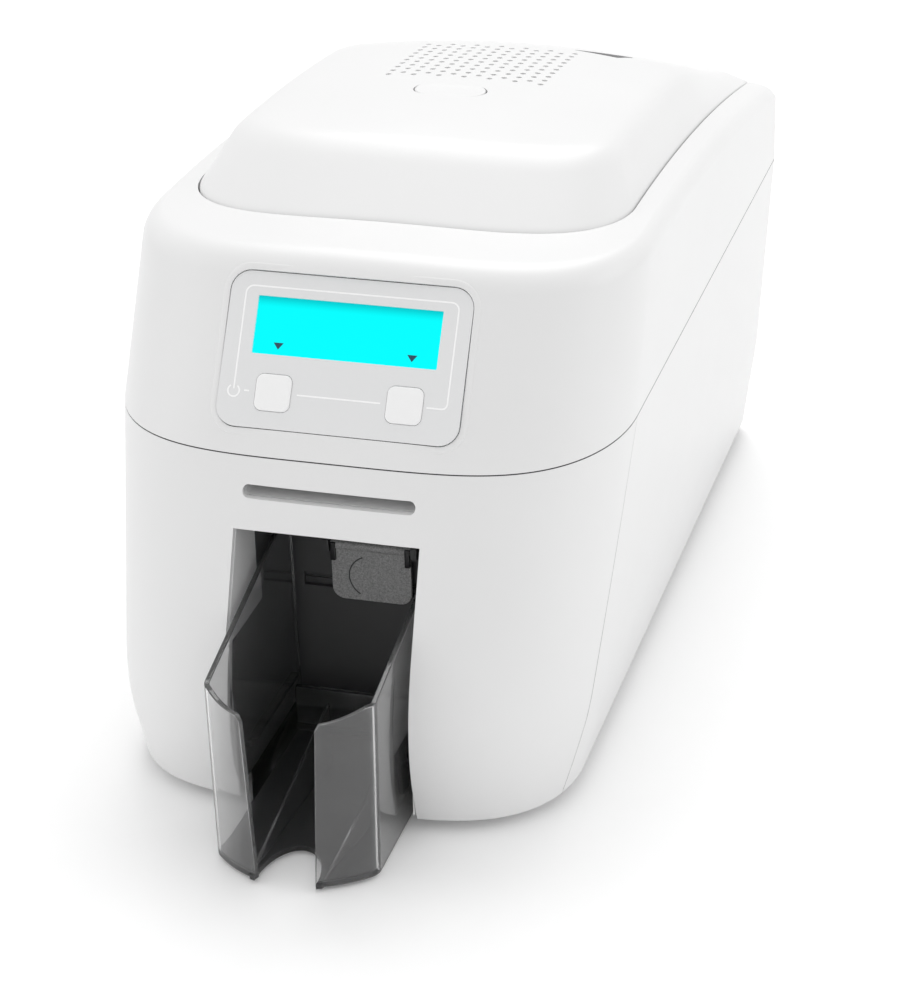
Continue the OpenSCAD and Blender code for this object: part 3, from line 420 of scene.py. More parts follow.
class Paint(Enum):
    """Every finish of the printer, under the name of what wears it."""

    SHELL = MouldedPlastic("shell_plastic", (0.80, 0.80, 0.80), 0.36, 0.5, 0.010)
    LID = MouldedPlastic("lid_plastic", (0.80, 0.80, 0.80), 0.34, 0.5, 0.008)
    PANEL = MouldedPlastic("panel_plastic", (0.79, 0.793, 0.797), 0.42, 0.45, 0.012)
    KEY = MouldedPlastic("key_plastic", (0.92, 0.92, 0.92), 0.42, 0.6, 0.004, 0.01)
    SCREEN = MouldedPlastic("screen_plastic", (0.70, 0.70, 0.70), 0.7, 0.4, 0.03)
    PRINT = MouldedPlastic("panel_print", (0.99, 0.99, 0.99), 0.5, 0.4, 0.004, 0.01)
    INK = MouldedPlastic("display_ink", (0.01, 0.06, 0.10), 0.5, 0.4, 0.002, 0.01)
    LINER = MouldedPlastic("liner_plastic", (0.085, 0.085, 0.087), 0.45, 0.7, 0.03)
    DARK = MouldedPlastic("dark_plastic", (0.13, 0.13, 0.135), 0.5, 0.6, 0.02)
    FLAP = Speckled("flap_plastic", (0.46, 0.46, 0.46))
    ACCENT = MouldedPlastic("accent_plastic", (0.035, 0.037, 0.04), 0.35, 0.6, 0.006)
    BLACK = MouldedPlastic("black_plastic", (0.018, 0.018, 0.02), 0.4, 0.6, 0.01)
    GEAR = MouldedPlastic("gear_plastic", (0.72, 0.70, 0.62), 0.35, 0.8, 0.004)
    SPOOL = MouldedPlastic("spool_plastic", (0.78, 0.78, 0.77), 0.4, 0.7, 0.006)
    FILM = MouldedPlastic("print_film", (0.012, 0.012, 0.016), 0.12, 3.0, 0.002, 0.2, 0.4)
    SMOKE = SmokeClear("smoke_clear", (0.90, 0.90, 0.903))
    # A darker copy of the smoke clear, which paints the shade on the tray's floor and rails under the bay.
    SMOKE_SHADED = SmokeClear("smoke_shaded", (0.26, 0.26, 0.265), 0.10)
    SMOKE_RIB = SmokeClear("smoke_rib", (0.62, 0.62, 0.625))
    TYRE = Rubber("roller_rubber", (0.03, 0.03, 0.032))
    CLEANER = Rubber("cleaning_rubber", (0.06, 0.16, 0.36), 0.5, 700.0)
    FOOT = Rubber("foot_rubber", (0.015, 0.015, 0.016), 0.8)
    SHEET = BrushedMetal("sheet_steel", (0.55, 0.56, 0.58), 0.34, 1, 0.35)
    SHAFT = BrushedMetal("ground_shaft", (0.62, 0.62, 0.64), 0.2, 0)
    HEAD = BrushedMetal("head_metal", (0.30, 0.30, 0.32), 0.38, 0)
    BOARD = CircuitBoard("circuit_board")
    LCD = LitDisplay("lit_display")


# ---- Mesh building ------------------------------------------------------------------------------
def point(*numbers: float) -> Vector:
    """Gives a vector from its numbers."""
    return Vector(numbers)


def mixed(first: Vector, second: Vector, share: float) -> Vector:
    """Gives the point a share of the way from first to second."""
    return first.lerp(second, share)


def quadratic(first: Vector, corner: Vector, last: Vector, s: float) -> Vector:
    """Gives the point at share s of the curve from first to last that rounds a corner."""
    return first * (1 - s) ** 2 + corner * (2 * s * (1 - s)) + last * s ** 2


def cubic(first: Vector, leave: Vector, arrive: Vector, last: Vector, s: float) -> Vector:
    """Gives the point at share s of the curve from first to last that two points pull."""
    return (first * (1 - s) ** 3 + leave * (3 * s * (1 - s) ** 2) + arrive * (3 * s * s * (1 - s))
            + last * s ** 3)


def steps(stops: Sequence[tuple[float, float]], u: float) -> float:
    """Gives the value of a chain of straight stretches.

    Args:
        stops: Shares of the way and their values, in order.
        u: The share of the way.

    Returns:
        The value there.
    """
    for (u0, v0), (u1, v1) in zip(stops, stops[1:]):
        if u <= u1:
            return v0 + (v1 - v0) * (u - u0) / (u1 - u0)
    return stops[-1][1]


def around(u: float) -> float:
    """Gives the place on a Ring for a share of the way round it, with most of the faces on its front."""
    return steps([(0.0, 0.0), (0.4, 1.0), (0.53, 2.0), (0.87, 3.0), (1.0, 4.0)], u)


def halved(low: float, high: float, before: Callable[[float], bool]) -> float:
    """Finds where a test stops holding.

    Args:
        low: A value at which it holds.
        high: A value at which it doesn't.
        before: The test.

    Returns:
        The value between them.
    """
    for _ in range(24):
        middle = (low + high) / 2
        low, high = (middle, high) if before(middle) else (low, middle)
    return (low + high) / 2


def circle(degrees: Iterable[float]) -> list[tuple[float, float]]:
    """Gives points of the unit circle at some angles."""
    return [(math.cos(math.radians(a)), math.sin(math.radians(a))) for a in degrees]


def moved(x: float, y: float, z: float, turn: Matrix | None = None) -> Matrix:
    """Gives the matrix that turns a shape, if a turn is given, and then moves it."""
    place = Matrix.Translation((x, y, z))
    return place if turn is None else place @ turn


def surface(columns: int, rows: int, place: Place, closed: bool = False) -> bmesh.types.BMesh:
    """Lays a grid over a formula.

    Args:
        columns: Faces along the first parameter.
        rows: Faces along the second parameter.
        place: Gives the point, in mm, of two parameters from 0 to 1.
        closed: Whether the first and last columns are the same.

    Returns:
        The sheet as a bmesh.
    """
    bm = bmesh.new()
    bmesh.ops.create_grid(bm, x_segments=columns, y_segments=rows, size=0.5)
    for vert in bm.verts:
        vert.co = place(round((vert.co.x + 0.5) * columns) / columns, round((vert.co.y + 0.5) * rows) / rows)
    if closed:
        bmesh.ops.remove_doubles(bm, verts=bm.verts, dist=0.002)
    return bm


def face_out(bm: bmesh.types.BMesh, middle: Vector) -> None:
    """Turns a shell's faces away from a point inside it."""
    bmesh.ops.recalc_face_normals(bm, faces=bm.faces)
    if sum((f.calc_center_median() - middle).dot(f.normal) * f.calc_area() for f in bm.faces) < 0:
        bmesh.ops.reverse_faces(bm, faces=bm.faces)


def with_modifier(bm: bmesh.types.BMesh, kind: str, tool: bmesh.types.BMesh | None = None,
                  **settings: object) -> bmesh.types.BMesh:
    """Applies one modifier to a bmesh.

    Args:
        bm: The mesh, which is freed.
        kind: The modifier's type.
        tool: The other mesh of a boolean, which is freed.
        **settings: The modifier's settings.

    Returns:
        The changed mesh.
    """
    made = []
    for source in (bm, tool):
        if source is not None:
            mesh = bpy.data.meshes.new("work")
            source.to_mesh(mesh)
            source.free()
            made.append(bpy.data.objects.new("work", mesh))
            bpy.context.scene.collection.objects.link(made[-1])
    modifier = made[0].modifiers.new("work", kind)
    for key, setting in settings.items():
        setattr(modifier, key, setting)
    if tool is not None:
        modifier.object = made[1]
    bpy.context.view_layer.update()
    shaped = made[0].evaluated_get(bpy.context.evaluated_depsgraph_get())
    result = bmesh.new()
    result.from_mesh(shaped.to_mesh())
    shaped.to_mesh_clear()
    for thing in made:
        mesh = thing.data
        bpy.data.objects.remove(thing)
        bpy.data.meshes.remove(mesh)
    return result


def walled(bm: bmesh.types.BMesh, thickness: float) -> bmesh.types.BMesh:
    """Gives a sheet a wall on the side behind its faces."""
    return with_modifier(bm, "SOLIDIFY", thickness=thickness, offset=-1.0, use_even_offset=True)


def cut(bm: bmesh.types.BMesh, tool: bmesh.types.BMesh) -> bmesh.types.BMesh:
    """Cuts one closed mesh out of another."""
    return with_modifier(bm, "BOOLEAN", tool, operation="DIFFERENCE", solver="MANIFOLD")


def block(bm: bmesh.types.BMesh, low: Sequence[float], high: Sequence[float], bevel: float = 0.0) -> None:
    """Adds a box from corner to corner.

    Args:
        bm: The mesh to add to.
        low: The lowest corner.
        high: The highest corner.
        bevel: Width of the rounding of its edges.
    """
    middle = (Vector(low) + Vector(high)) / 2
    size = Vector(high) - Vector(low)
    made = bmesh.ops.create_cube(bm, size=1.0,
                                 matrix=Matrix.Translation(middle) @ Matrix.Diagonal((*size, 1.0)))
    if bevel:
        edges = list({e for v in made["verts"] for e in v.link_edges})
        bmesh.ops.bevel(bm, geom=edges, offset=bevel, segments=2, profile=0.5, affect="EDGES", material=-1)


def slab(bm: bmesh.types.BMesh, outline: Iterable[Sequence[float]], height: float,
         matrix: Matrix | None = None) -> list[bmesh.types.BMVert]:
    """Adds a flat plate from its outline in X and Y, raised along Z.

    Args:
        bm: The mesh to add to.
        outline: The corners in order.
        height: The plate's thickness.
        matrix: Where the plate is placed.

    Returns:
        The plate's vertices.
    """
    ring = [bm.verts.new((p[0], p[1], 0.0)) for p in outline]
    edges = [bm.edges.new(pair) for pair in zip(ring, ring[1:] + ring[:1])]
    face = bmesh.ops.contextual_create(bm, geom=ring + edges)["faces"][0]
    raised = bmesh.ops.extrude_face_region(bm, geom=[face])["geom"]
    top = [g for g in raised if isinstance(g, bmesh.types.BMVert)]
    bmesh.ops.translate(bm, vec=(0.0, 0.0, height), verts=top)
    verts = ring + top
    faces = list({f for v in verts for f in v.link_faces})
    bmesh.ops.recalc_face_normals(bm, faces=faces)
    if matrix is not None:
        bmesh.ops.transform(bm, matrix=matrix, verts=verts)
    return verts


def rounded(width: float, height: float, radius: float, at: Sequence[float] = (0.0, 0.0),
            steps: int = 8) -> list[tuple[float, float]]:
    """Gives the outline of a rectangle with round corners."""
    corners = [(1, 1, 0), (-1, 1, 90), (-1, -1, 180), (1, -1, 270)]
    return [(at[0] + sx * (width / 2 - radius) + radius * math.cos(math.radians(start + 90 * i / steps)),
             at[1] + sy * (height / 2 - radius) + radius * math.sin(math.radians(start + 90 * i / steps)))
            for sx, sy, start in corners for i in range(steps + 1)]


def turned(bm: bmesh.types.BMesh, profile: Sequence[tuple[float, float]], matrix: Matrix,
           steps: int = 48) -> None:
    """Adds a turned solid about the X axis.

    Args:
        bm: The mesh to add to.
        profile: Places along X and radii, from end to end.
        matrix: Where the solid is placed.
        steps: Faces round the axis.
    """
    verts = [bm.verts.new((x, 0.0, r)) for x, r in profile]
    edges = [bm.edges.new(pair) for pair in zip(verts, verts[1:])]
    done = bmesh.ops.spin(bm, geom=verts + edges, cent=(0, 0, 0), axis=(1, 0, 0), angle=math.tau, steps=steps,
                          use_merge=True)
    fresh = {v for v in verts if v.is_valid}
    fresh |= {g for g in done["geom_last"] if isinstance(g, bmesh.types.BMVert) and g.is_valid}
    reach = list(fresh)
    while reach:
        vert = reach.pop()
        for edge in vert.link_edges:
            other = edge.other_vert(vert)
            if other not in fresh:
                fresh.add(other)
                reach.append(other)
    bmesh.ops.remove_doubles(bm, verts=list(fresh), dist=0.0005)
    fresh = {v for v in fresh if v.is_valid}
    bmesh.ops.recalc_face_normals(bm, faces=list({f for v in fresh for f in v.link_faces}))
    bmesh.ops.transform(bm, matrix=matrix, verts=list(fresh))


def cushion(bm: bmesh.types.BMesh, size: Sequence[float], radius: float, tall: float, edge: float,
            crown: float, matrix: Matrix) -> None:
    """Adds a rounded-corner block whose top is rounded at its edge and domed or hollow inside it.

    Args:
        bm: The mesh to add to.
        size: Its width and height.
        radius: Its corner radius in plan.
        tall: Height of the top's edge over the flat underside.
        edge: Radius of the rounding between side and top.
        crown: Height of the dome over the top's edge; below 0 it is hollow.
        matrix: Where the block is placed.
    """
    corner = 10
    count = 4 * (corner + 1)
    side, rim = 0.2, 0.5

    def place(u: float, v: float) -> Vector:
        """Gives a point of the skin: its side, its rounded rim, then its top."""
        turn = min(1.0, max(0.0, (v - side) / (rim - side))) * math.pi / 2
        inset = edge * (1 - math.cos(turn))
        outline = rounded(size[0] - 2 * inset, size[1] - 2 * inset, max(0.02, radius - inset), steps=corner)
        x, y = outline[round(u * count) % count]
        if v <= side:
            return point(x, y, (tall - edge) * v / side)
        if v <= rim:
            return point(x, y, tall - edge + edge * math.sin(turn))
        share = (v - rim) / (1.0 - rim)
        return point(x * (1 - share), y * (1 - share), tall + crown * (1 - (1 - share) ** 2))

    skin = surface(count, 20, place, closed=True)
    bmesh.ops.holes_fill(skin, edges=[e for e in skin.edges if e.is_boundary], sides=0)
    bmesh.ops.recalc_face_normals(skin, faces=skin.faces)
    bmesh.ops.transform(skin, matrix=matrix, verts=skin.verts)
    join(bm, skin)


def join(bm: bmesh.types.BMesh, other: bmesh.types.BMesh) -> None:
    """Moves one mesh into another.

    Args:
        bm: The mesh that grows.
        other: The mesh that is freed.
    """
    mesh = bpy.data.meshes.new("joined")
    other.to_mesh(mesh)
    other.free()
    bm.from_mesh(mesh)
    bpy.data.meshes.remove(mesh)


def ribbon(bm: bmesh.types.BMesh, path: Sequence[Sequence[float]], width: float, height: float,
           matrix: Matrix) -> None:
    """Adds a flat strip that follows a path, made by extruding one edge along it.

    Args:
        bm: The mesh to add to.
        path: Points in X and Y.
        width: The strip's width.
        height: The strip's thickness.
        matrix: Where the strip is placed.
    """
    points = [Vector((p[0], p[1], 0.0)) for p in path]
    sides = []
    for i in range(len(points)):
        along = (points[min(i + 1, len(points) - 1)] - points[max(i - 1, 0)]).normalized()
        sides.append(Vector((-along.y, along.x, 0.0)) * width / 2)
    pair = [bm.verts.new(points[0] + sides[0]), bm.verts.new(points[0] - sides[0])]
    edge = bm.edges.new(pair)
    verts = list(pair)
    faces = []
    for here, side in zip(points[1:], sides[1:]):
        geom = bmesh.ops.extrude_edge_only(bm, edges=[edge])["geom"]
        edge = next(g for g in geom if isinstance(g, bmesh.types.BMEdge))
        faces += [g for g in geom if isinstance(g, bmesh.types.BMFace)]
        pair = [next(v for v in edge.verts if v in {e.other_vert(p) for e in p.link_edges}) for p in pair]
        pair[0].co, pair[1].co = here + side, here - side
        verts += pair
    geom = bmesh.ops.extrude_face_region(bm, geom=faces)["geom"]
    top = [g for g in geom if isinstance(g, bmesh.types.BMVert)]
    bmesh.ops.translate(bm, vec=(0.0, 0.0, height), verts=top)
    everything = verts + top
    bmesh.ops.recalc_face_normals(bm, faces=list({f for v in everything for f in v.link_faces}))
    bmesh.ops.transform(bm, matrix=matrix, verts=everything)


def publish(bm: bmesh.types.BMesh, name: str, paint: Paint, body: str, slot: str,
            replaces: Sequence[str] = (), crease: float = 35.0, bevel: float = 0.0,
            segments: int = 2) -> bpy.types.Object:
    """Turns a bmesh in mm into a finished piece in metres.

    Args:
        bm: The mesh, which is freed.
        name: The piece's name.
        paint: Its finish.
        body: The CAD body it rides on.
        slot: The record's material slot; not used.
        replaces: CAD nodes it stands for.
        crease: The face angle above which an edge stays sharp, in degrees.
        bevel: Width of the rounding of sharp edges, in mm.
        segments: Faces across that rounding.

    Returns:
        The finished object.
    """
    bmesh.ops.scale(bm, vec=(MM, MM, MM), verts=bm.verts)
    for face in bm.faces:
        face.smooth = True
    for edge in bm.edges:
        edge.smooth = edge.calc_face_angle(0.0) < math.radians(crease)
    mesh = bpy.data.meshes.new(name)
    bm.to_mesh(mesh)
    bm.free()
    mesh.materials.append(paint.value.material())
    piece = bpy.data.objects.new(name, mesh)
    bpy.context.scene.collection.objects.link(piece)
    if bevel:
        rounding = piece.modifiers.new("edge", "BEVEL")
        rounding.width = bevel * MM
        rounding.segments = segments
        rounding.limit_method = "ANGLE"
        rounding.angle_limit = math.radians(crease)
        rounding.harden_normals = True
    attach(piece, body)
    if replaces:
        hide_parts(*replaces)
    LOG.info("made %s on %s", name, body)
    return piece


# ---- The case's form ----------------------------------------------------------------------------
@dataclass(frozen=True)
class Ring:
    """One level of the case's plan outline."""

    width: float
    crease: float
    front: float
    back: float
    rounding: float

    def front_y(self, share: float) -> float:
        """Gives Y of the bowed front at a share of the half width."""
        return self.crease - (self.crease - self.front) * math.sqrt(max(0.0, 1 - share ** 4))

    def at(self, q: float) -> tuple[float, float]:
        """Gives the outline's point.

        Args:
            q: 0 to 1 is the front from right to left, 1 to 2 the left side, 2 to 3 the back and 3 to 4 the
                right side.

        Returns:
            Its X and Y.
        """
        q %= 4.0
        half = self.width / 2
        turn = self.back - self.rounding
        if q < 1.0:
            share = math.sin(math.pi * (0.5 - q))
            return half * share, self.front_y(share)
        if q < 2.0:
            return -half, self.crease + (turn - self.crease) * (q - 1.0)
        if q < 3.0:
            share = -math.cos(math.pi * (q - 2.0))
            return half * share, turn + self.rounding * math.sqrt(max(0.0, 1 - share ** 8))
        return half, turn + (self.crease - turn) * (q - 3.0)


@dataclass(frozen=True)
class CaseForm:
    """Sizes and surfaces that the covers share, in mm."""

    width: float = 206.0
    back: float = 222.0
    base: float = 5.0
    seam: float = 141.7
    belly_width: float = 193.0
    base_width: float = 181.0
    belly_front: float = -184.0
    belly_crease: float = -110.0
    top_front: float = -109.2
    top_crease: float = -48.0
    back_round: float = 10.0
    belly_z: float = 46.0
    belly_drop: float = 9.0
    belly_rise: float = 11.0
    belly_run: float = 220.0
    edge_peak: tuple[float, float] = (-60.0, 202.5)
    edge_bow: float = 2610.0
    edge_camber: float = 5.0
    split_foot: float = -139.0
    split_bend: tuple[float, float] = (-127.0, 38.0)
    split_run: float = 48.3
    floor_share: float = 0.985
    seam_gap: float = 0.55
    seam_bevel: float = 0.22
    wall: float = 2.5
    bay_half: float = 37.0
    bay_top: float = 115.9
    bay_back: float = -98.0
    lid_width: float = 179.0
    lid_front: float = -70.5
    lid_crease: float = -25.0
    lid_gap: float = 0.6
    lid_short: float = 3.0
    lid_round: float = 5.0
    bevel: float = 3.4
    crest_width: float = 156.0
    crest_front: float = -34.0
    crest_crease: float = -6.0
    crest_round: float = 5.0
    crest_short: float = 6.0
    crest_rise: float = 20.5
    crest_fall: float = 15.5
    fall_start: float = 105.0
    crown: float = 3.2
    hinge: tuple[float, float] = (210.0, 176.0)

    @property
    def base_ring(self) -> Ring:
        """The outline at the base."""
        return Ring(self.base_width, -118.0, -171.0, self.back, self.back_round)

    @property
    def belly_ring(self) -> Ring:
        """The outline at the fullest line."""
        return Ring(self.belly_width, self.belly_crease, self.belly_front, self.back, self.back_round)

    @property
    def seam_ring(self) -> Ring:
        """The outline at the seam."""
        return Ring(self.width, -78.7, -146.2, self.back, self.back_round)

    @property
    def top_ring(self) -> Ring:
        """The outline at the top edge."""
        return Ring(self.width, self.top_crease, self.top_front, self.back, self.back_round)

    def edge_z(self, x: float, y: float) -> float:
        """Height of the cover's top edge."""
        peak_y, peak_z = self.edge_peak
        return peak_z - (y - peak_y) ** 2 / self.edge_bow + self.edge_camber * (1 - (2 * x / self.width) ** 2)

    def shoulder_z(self, x: float, y: float) -> float:
        """Height of the shoulder inside the top edge."""
        return self.edge_z(x, y) + self.bevel

    def tuck_z(self, x: float, y: float) -> float:
        """Height of the fullest line."""
        if y <= self.belly_crease:
            return self.belly_z - self.belly_drop * (2 * x / self.belly_width) ** 2
        share = min(1.0, (y - self.belly_crease) / self.belly_run)
        return self.belly_z - self.belly_drop + self.belly_rise * share

    @property
    def crest_back(self) -> float:
        """Y of the raised top's back."""
        return self.back - self.lid_short - self.crest_short

    def crest_z(self, x: float, y: float) -> float:
        """Height of the raised top's edge, which falls in a soft step towards the back."""
        t = max(0.0, min(1.0, (y - self.fall_start) / (self.crest_back - self.fall_start)))
        return self.shoulder_z(x, y) + self.crest_rise - self.crest_fall * t * t * (3 - 2 * t)

    def lid_top_z(self, x: float, y: float) -> float:
        """Height of the lid's top."""
        half = self.crest_width / 2 - self.crest_round
        middle = (self.crest_front + self.crest_back) / 2
        reach = (self.crest_back - self.crest_front) / 2 - self.crest_round
        across, along = max(0.0, 1 - (x / half) ** 2), max(0.0, 1 - ((y - middle) / reach) ** 4)
        return self.crest_z(x, y) + self.crown * across * along

    def cover_y(self, x: float, z: float) -> float:
        """Gives Y of the cover's sloping front at a place."""
        start, end = (ring.front_y(2 * x / ring.width) for ring in (self.seam_ring, self.top_ring))
        low = self.seam + self.seam_gap
        return start + (end - start) * (z - low) / (self.edge_z(x, end) - low)

    def split_y(self, z: float) -> float:
        """Y of the seam between fascia and side at a height, which bends once."""
        bend_y, bend_z = self.split_bend
        if z <= bend_z:
            return self.split_foot + (bend_y - self.split_foot) * (z - self.base) / (bend_z - self.base)
        return bend_y + self.split_run * (z - bend_z) / (self.seam - bend_z)

    def side(self, q: float, t: float) -> Vector:
        """Gives a point of the lower case's outside.

        Args:
            q: The place round the outline.
            t: 0 at the base, 1 at the fullest line, 2 at the seam.

        Returns:
            The point.
        """
        x0, y0 = self.base_ring.at(q)
        x1, y1 = self.belly_ring.at(q)
        x2, y2 = self.seam_ring.at(q)
        low, high = point(x0, y0, self.base), point(x2, y2, self.seam)
        belly = point(x1, y1, self.tuck_z(x1, y1))
        # The rounding at the fullest line is wide over the front and narrow on the other sides.
        front = 1.0 - abs(2 * x1 / self.belly_width) ** 8 if q % 4.0 < 1.0 else 0.0
        below, above = 0.10 + 0.60 * front, 0.04 + 0.28 * front
        if t < 1.0 - below:
            return mixed(low, belly, t)
        if t > 1.0 + above:
            return mixed(belly, high, t - 1.0)
        s = (t - 1.0 + below) / (below + above)
        return quadratic(mixed(low, belly, 1.0 - below), belly, mixed(belly, high, above), s)

    def behind_seam(self, spot: Vector) -> bool:
        """Tells whether a point lies behind the seam between fascia and side."""
        return spot.y > self.split_y(spot.z)

    def seam_q(self, t: float) -> float:
        """Gives the place on the right half where the fascia ends at level t."""
        return halved(0.0, 0.35, lambda q: self.behind_seam(self.side(q, t)))

    def bay_q(self, t: float) -> float:
        """Gives the place on the right half where the outside crosses the bay's edge at level t."""
        return halved(0.2, 0.5, lambda q: self.side(q, t).x > self.bay_half)


@dataclass
class LowerCase:
    """The lower case behind the fascia, with its floor."""

    form: CaseForm
    gap_q: float = 0.0018
    panel: tuple[float, float, float, float] = (-55.3, 13.7, 55.3, 48.3)
    louvres: int = 6
    louvre_half: float = 30.0
    louvre_z: float = 70.0
    louvre_pitch: float = 6.0
    louvre_height: float = 3.0
    post_x: float = 58.0
    post_ys: tuple[float, float] = (-50.0, 140.0)
    post: tuple[tuple[float, float], ...] = ((7.0, 0.0), (7.0, 7.0), (10.0, 6.0), (79.6, 5.6), (79.6, 1.6),
                                             (72.0, 1.6), (72.0, 0.0))

    def shell(self) -> bmesh.types.BMesh:
        """Lays the outside from seam to seam, gives it a wall and cuts the back's openings."""
        form = self.form

        def place(u: float, v: float) -> Vector:
            """Gives a point of the outside."""
            t = steps([(0.0, 0.0), (0.5, 1.06), (1.0, 2.0)], v)
            edge = form.seam_q(t) - self.gap_q
            q = steps([(0.0, 1.0 - edge), (0.06, max(1.0, 1.01 - edge)), (0.3, 2.0), (0.7, 3.0),
                       (0.94, min(4.0, 3.99 + edge)), (1.0, 4.0 + edge)], u)
            return form.side(q, t)

        bm = surface(150, 40, place)
        face_out(bm, point(0, 40, 70))
        bm = walled(bm, form.wall)
        tool = bmesh.new()
        near, far = form.back - 6, form.back + 4
        x0, z0, x1, z1 = self.panel
        block(tool, (x0, near, z0), (x1, far, z1))
        for i in range(self.louvres):
            z = self.louvre_z + self.louvre_pitch * i
            block(tool, (-self.louvre_half, near, z), (self.louvre_half, far, z + self.louvre_height))
        return cut(bm, tool)

    def floor(self) -> bmesh.types.BMesh:
        """Makes the floor with the gap for the hopper."""
        form = self.form
        edge = form.seam_q(0.0)
        stops = [(0.0, 1.0 - edge), (0.06, 1.0), (0.3, 2.0), (0.7, 3.0), (0.94, 4.0), (1.0, 4.0 + edge)]
        outline = []
        for i in range(121):
            spot = form.side(steps(stops, i / 120), 0.0)
            outline.append((spot.x * form.floor_share, min(spot.y, form.back - 1.0)))
        split = form.split_y(form.base) + 0.4
        outline += [(form.bay_half, split), (form.bay_half, form.bay_back), (-form.bay_half, form.bay_back),
                    (-form.bay_half, split)]
        bm = bmesh.new()
        slab(bm, outline, form.wall, moved(0, 0, form.base))
        return bm

    def posts(self) -> bmesh.types.BMesh:
        """Makes the hollow posts that stand on the floor under the engine's deck."""
        bm = bmesh.new()
        for x in (-self.post_x, self.post_x):
            for y in self.post_ys:
                turned(bm, self.post, moved(x, y, 0, UPRIGHT), 32)
        return bm

    def build(self) -> None:
        """Publishes the lower case, its floor and its posts."""
        publish(self.shell(), "lower_case_shell", Paint.SHELL, "case", "white_shell", ["lower_case"],
                bevel=self.form.seam_bevel)
        publish(self.floor(), "lower_case_floor", Paint.SHELL, "case", "white_shell", bevel=0.3)
        publish(self.posts(), "lower_case_posts", Paint.SHELL, "case", "white_shell", bevel=0.2)


